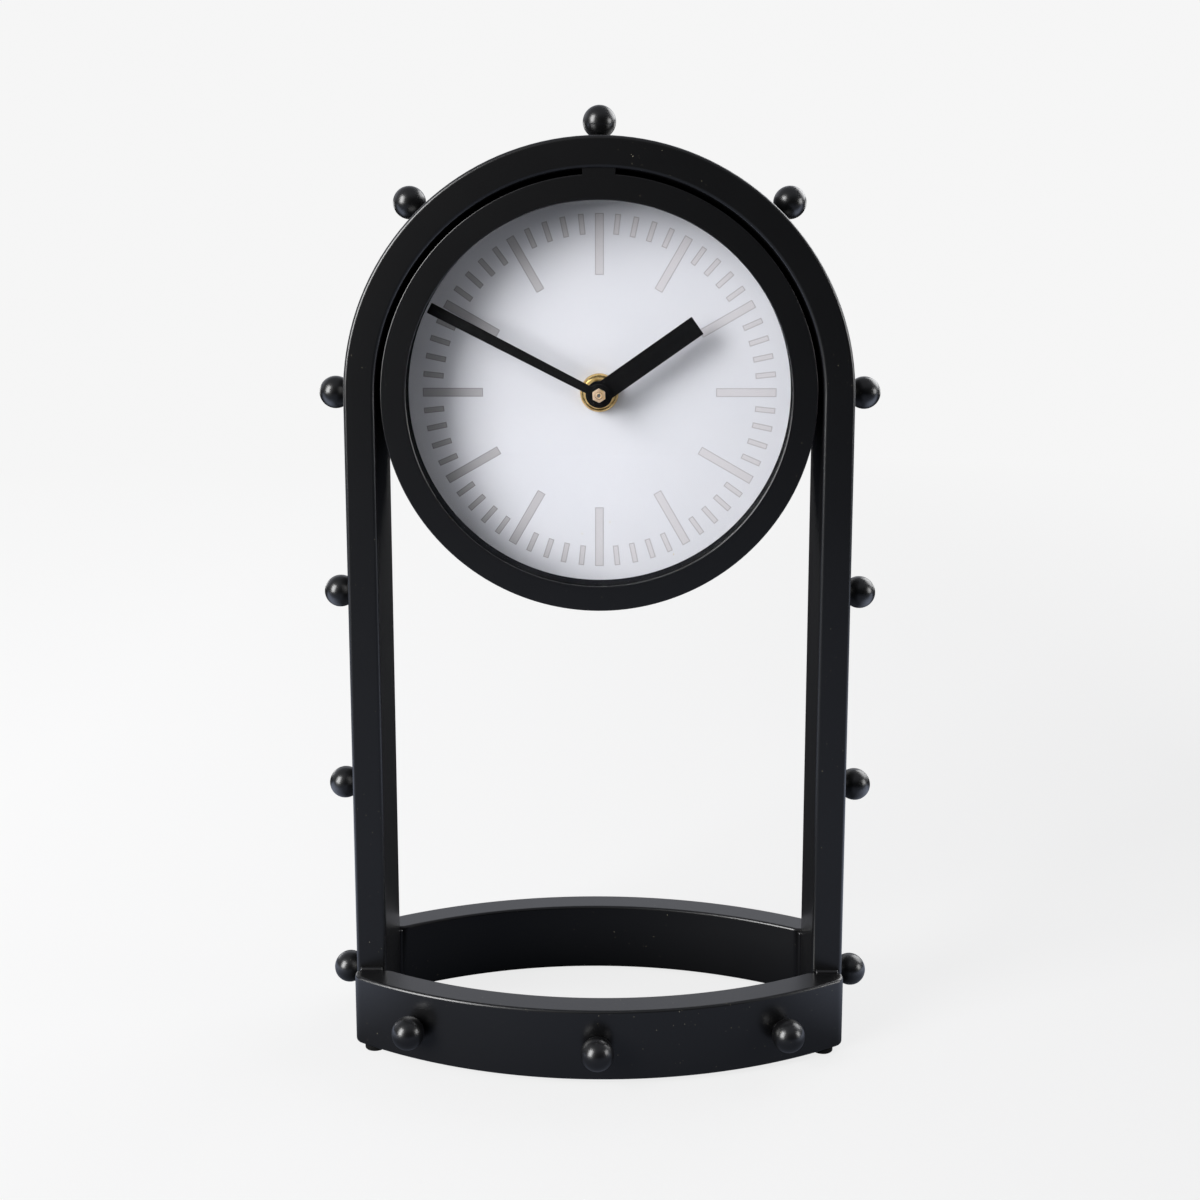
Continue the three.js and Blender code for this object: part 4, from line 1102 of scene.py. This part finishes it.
class CLOCK_OT_hands(bpy.types.Operator):
    """Add the two hands, the nut that holds them and the domed nut behind them"""

    bl_idname = "clock.hands"
    bl_label = "Hands and Nuts"

    def execute(self, context):
        sizes = context.scene.clock_drum
        made = finishes(context)
        minute_angle = sizes.minute * MINUTE_ANGLE
        hour_angle = (sizes.hour + sizes.minute / 60) * HOUR_ANGLE
        hour = self.add_hand("hour_pointer", "hour_hand", sizes, sizes.hour_length,
                             (sizes.hour_width, sizes.hour_width),
                             (sizes.hour_hub, sizes.hour_collar, sizes.pipe_bore))
        hour.data.transform(about_axis(hour_angle))
        dress(hour, made["hands"], "hour_train", ["hour_hand"])
        minute = self.add_hand("minute_pointer", "minute_hand", sizes, sizes.minute_length,
                               (sizes.minute_root, sizes.minute_tip),
                               (sizes.minute_hub, sizes.minute_collar, sizes.arbor_bore))
        minute.data.transform(about_axis(minute_angle))
        dress(minute, made["hands"], "minute_train", ["minute_hand"])
        cap = self.add_hand_nut(sizes)
        cap.data.transform(about_axis(minute_angle))
        dress(cap, made["blasted"], "minute_train", ["hand_nut"])
        dress(self.add_arbor_lip(), made["blasted"], "minute_train")
        dress(self.add_domed_nut(sizes), made["brass"], nodes=["fixing_nut"])
        return {"FINISHED"}

    def add_hand(self, name, node_name, sizes, run, widths, radii):
        """A flat blade to twelve o'clock on a stepped round hub with a collar behind."""
        low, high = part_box(node_name)
        front = low.y
        back = front + sizes.hand_thickness
        root, tip = widths
        hub, collar, bore = radii
        ledge, rise = 0.65 * MM, 0.22 * MM  # of the hub's step
        deselect_all()
        blade = block(name, Vector((-root / 2, front, AXIS_Z)), Vector((root / 2, back, AXIS_Z + run)))
        with editing(blade):
            choose(blade, "VERT", lambda v: v.co.z > AXIS_Z + run / 2)
            bpy.ops.transform.resize(value=(tip / root, 1, 1))
        plate = disc("hub", hub, front - NEAR, back + NEAR)
        step = disc("step", hub - ledge, front - rise, back - NEAR)
        for part in (blade, plate, step):
            round_edges(part, radius=0.1 * MM, segments=3)
        boolean(blade, "UNION", plate, disc("collar", collar, front + NEAR, high.y), step)
        boolean(blade, "DIFFERENCE", disc("bore", bore, front - MM, high.y + MM))
        with editing(blade):
            facing_out()
            bpy.ops.mesh.dissolve_degenerate(threshold=NEAR / 10)
        return blade

    def add_hand_nut(self, sizes):
        """A small open hexagon nut with rounded corners."""
        low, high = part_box("hand_nut")
        deselect_all()
        nut = disc("cap_nut", sizes.nut_flats / math.sqrt(3), low.y, high.y, vertices=6)
        round_edges(nut, radius=0.2 * MM, segments=3)
        boolean(nut, "DIFFERENCE", disc("bore", sizes.arbor_bore, low.y - MM, high.y + MM, vertices=48))
        return nut

    def add_domed_nut(self, sizes):
        """A round nut that narrows from its rim to a shoulder, with a low boss in front."""
        low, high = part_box("fixing_nut")
        depth = high.y - low.y
        radius = sizes.nut_radius
        rim = 0.3 * depth
        # Each step's rise as a share of the nut's depth, and its radius as a share of the rim's
        steps = ((0.20, 0.955), (0.14, 0.89), (0.08, 0.80), (0.14, 0.755), (0.14, 0.70))
        deselect_all()
        nut = disc("domed_nut", radius, high.y - rim, high.y)
        with editing(nut):
            choose(nut, "FACE", lambda f: looks(f, FRONT))
            for rise, share in steps:
                extrude(FRONT * rise * depth)
                slim = share * sizes.nut_radius / radius
                bpy.ops.transform.resize(value=(slim, 1, slim))
                radius = share * sizes.nut_radius
        boolean(nut, "DIFFERENCE", disc("bore", sizes.clamp_hole, low.y - MM, high.y + MM))
        round_edges(nut, radius=0.14 * MM, segments=3, angle=25)
        return nut

    def add_arbor_lip(self):
        """The rolled end of the minute arbor, a bright ring round the pin."""
        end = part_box("minute_arbor")[0].y
        middle, seat = end + 0.1 * MM, end + 0.06 * MM
        deselect_all()
        bpy.ops.mesh.primitive_torus_add(major_radius=MM, minor_radius=0.36 * MM, major_segments=48,
                                         minor_segments=16, rotation=ALONG_Y,
                                         location=(0, middle, AXIS_Z))
        lip = named("arbor_lip")
        with editing(lip):
            trim((0, seat, 0), BACK)
        return lip


class CLOCK_OT_back(bpy.types.Operator):
    """Add the back cover, the movement with its knob, and the battery"""

    bl_idname = "clock.back"
    bl_label = "Back and Movement"

    def execute(self, context):
        made = finishes(context)
        dress(self.add_cover(), made["coat"], nodes=["back_cover"])
        dress(self.add_shell(), made["plastic"], nodes=["movement_case"])
        dress(self.add_knob(), made["plastic"], "setting_train", ["setting_knob"])
        dress(self.add_battery(made), made["sleeve"], "battery", ["battery"])
        return {"FINISHED"}

    def rounded_block(self, name, low, high, corner):
        """A box whose edges along Y are rounded."""
        deselect_all()
        piece = block(name, low, high)
        with editing(piece):
            choose(piece, "EDGE", lambda e: abs(e.verts[0].co.y - e.verts[1].co.y) > MM)
            bpy.ops.mesh.bevel(offset=corner, segments=8, affect="EDGES")
        return piece

    def add_cover(self):
        """A pressed lid with a turned-in rim and a window round the movement."""
        low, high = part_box("back_cover")
        shell_low, shell_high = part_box("movement_case")
        wall = MM
        margin = Vector((2 * MM, 20 * MM, 2 * MM))  # round the movement, and past both faces of the lid
        deselect_all()
        cover = disc("rear_lid", high.x, low.y, high.y, vertices=192)
        with editing(cover):
            choose(cover, "FACE", lambda f: looks(f, FRONT))
            bpy.ops.mesh.inset(thickness=wall)
            extrude(BACK * (high.y - low.y - wall))
        window = self.rounded_block("window", shell_low - margin, shell_high + margin, corner=4.5 * MM)
        boolean(cover, "DIFFERENCE", window)
        round_edges(cover, radius=0.3 * MM, segments=3)
        return cover

    def add_shell(self):
        """The movement's box, open at the battery bay, with a raised ring round the knob."""
        low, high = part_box("movement_case")
        cell_low, cell_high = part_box("battery")
        wall, room = 1.2 * MM, 0.5 * MM  # beside the cell, and over and under it
        ring_radius, ring_rise = 7 * MM, 0.25 * MM
        shell = self.rounded_block("movement_shell", low, high, corner=2.5 * MM)
        bay_low = Vector((low.x + wall, low.y - MM, cell_low.z - room))
        bay_high = Vector((high.x - wall, high.y + MM, cell_high.z + room))
        boolean(shell, "DIFFERENCE", self.rounded_block("bay", bay_low, bay_high, corner=1.3 * MM))
        round_edges(shell, radius=0.35 * MM, segments=3)
        boss = disc("boss", ring_radius, high.y - MM, high.y + ring_rise, KNOB_CENTRE.x, KNOB_CENTRE.z)
        round_edges(boss, radius=0.1 * MM, segments=2)
        boolean(shell, "UNION", boss)
        return shell

    def add_knob(self):
        """A knob with a milled edge and a dished face."""
        rim, dish = 1.1 * MM, 0.5 * MM
        root = 0.92  # radius at the foot of the grooves, as a share of the knob's
        deselect_all()
        knob = disc("set_knob", KNOB_RADIUS, KNOB_LOW.y, KNOB_HIGH.y, KNOB_CENTRE.x, KNOB_CENTRE.z,
                    vertices=KNOB_POINTS)
        with editing(knob):
            choose(knob, "FACE", lambda f: looks(f, BACK))
            bpy.ops.mesh.inset(thickness=rim)
            bpy.ops.transform.translate(value=FRONT * dish)
            choose(knob, "VERT", self.in_groove)
            bpy.ops.transform.resize(value=(root, 1, root), center_override=KNOB_CENTRE)
        round_edges(knob, radius=0.12 * MM, segments=2, angle=50)
        return knob

    def in_groove(self, vert):
        """True for every second pair of points round the knob's edge."""
        across, up = vert.co.x - KNOB_CENTRE.x, vert.co.z - KNOB_CENTRE.z
        on_edge = math.hypot(across, up) > KNOB_RADIUS - NEAR
        return on_edge and round(math.atan2(up, across) / math.tau * KNOB_POINTS) % 4 < 2

    def add_battery(self, made):
        """A round cell with a plain sleeve, a bright shoulder and its contact nub."""
        low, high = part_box("battery")
        radius = (high.z - low.z) / 2
        nub, nub_radius = 1.4 * MM, 2.7 * MM
        rim = 0.9 * MM
        cap = (5 * MM) ** 2  # only the face inside the rim is larger than this
        place = (low + high) / 2 + LEFT * nub / 2
        deselect_all()
        bpy.ops.mesh.primitive_cylinder_add(vertices=64, radius=radius, depth=high.x - low.x - nub,
                                            location=place, rotation=ALONG_X)
        cell = named("round_cell")
        for finish in (made["sleeve"], made["steel"]):
            cell.data.materials.append(finish)
        with editing(cell):
            choose(cell, "FACE", lambda f: looks(f, LEFT) or looks(f, RIGHT))
            bpy.ops.mesh.inset(thickness=rim)
            cell.active_material_index = 1
            bpy.ops.object.material_slot_assign()
            choose(cell, "FACE", lambda f: looks(f, RIGHT) and f.calc_area() > cap)
            bpy.ops.mesh.inset(thickness=radius - rim - nub_radius)
            extrude(RIGHT * nub)
        round_edges(cell, radius=0.35 * MM, segments=3)
        return cell


INNER_FINISHES = {
    "dial_board": "board",
    "threaded_bushing": "brass",
    "rubber_washer": "rubber",
    "movement_lid": "plastic",
    "circuit_board": "circuit",
    "motor_coil": "copper",
    "spring_contact": "steel",
    "leaf_contact": "steel",
    "minute_arbor": "brass",
    "hour_wheel": "acetal",
    "seconds_arbor": "steel",
    "minute_wheel": "acetal",
}


class CLOCK_OT_inner_finishes(bpy.types.Operator):
    """Give the pieces inside the drum and the movement their finishes"""

    bl_idname = "clock.inner_finishes"
    bl_label = "Inner Finishes"

    def execute(self, context):
        made = finishes(context)
        for name, finish in INNER_FINISHES.items():
            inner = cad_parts[name]
            inner.data.materials.clear()
            inner.data.materials.append(made[finish])
        return {"FINISHED"}


OPERATORS = (
    CLOCK_OT_stage,
    CLOCK_OT_arch,
    CLOCK_OT_rails,
    CLOCK_OT_studs,
    CLOCK_OT_feet,
    CLOCK_OT_drum,
    CLOCK_OT_lens,
    CLOCK_OT_dial,
    CLOCK_OT_hands,
    CLOCK_OT_back,
    CLOCK_OT_inner_finishes,
)


class CLOCK_PT_panel(bpy.types.Panel):
    """The clock's sizes, colours and pieces"""

    bl_idname = "CLOCK_PT_panel"
    bl_label = "Table Clock"
    bl_space_type = "VIEW_3D"
    bl_region_type = "UI"
    bl_category = "Clock"

    def draw(self, context):
        layout = self.layout
        for group in (context.scene.clock_frame, context.scene.clock_drum, context.scene.clock_colours):
            column = layout.column(align=True)
            for name in group.bl_rna.properties.keys():
                if name not in {"rna_type", "name"}:
                    column.prop(group, name)
        for operator in OPERATORS:
            layout.operator(operator.bl_idname)


CLASSES = (ClockFrameSizes, ClockDrumSizes, ClockColours, *OPERATORS, CLOCK_PT_panel)


def register():
    for cls in CLASSES:
        bpy.utils.register_class(cls)
    bpy.types.Scene.clock_frame = PointerProperty(type=ClockFrameSizes)
    bpy.types.Scene.clock_drum = PointerProperty(type=ClockDrumSizes)
    bpy.types.Scene.clock_colours = PointerProperty(type=ClockColours)


def unregister():
    del bpy.types.Scene.clock_frame
    del bpy.types.Scene.clock_drum
    del bpy.types.Scene.clock_colours
    for cls in reversed(CLASSES):
        bpy.utils.unregister_class(cls)


def main():
    """Builds the clock and its stage."""
    register()
    for operator in OPERATORS:
        group, action = operator.bl_idname.split(".")
        getattr(getattr(bpy.ops, group), action)()


if __name__ == "__main__":
    main()
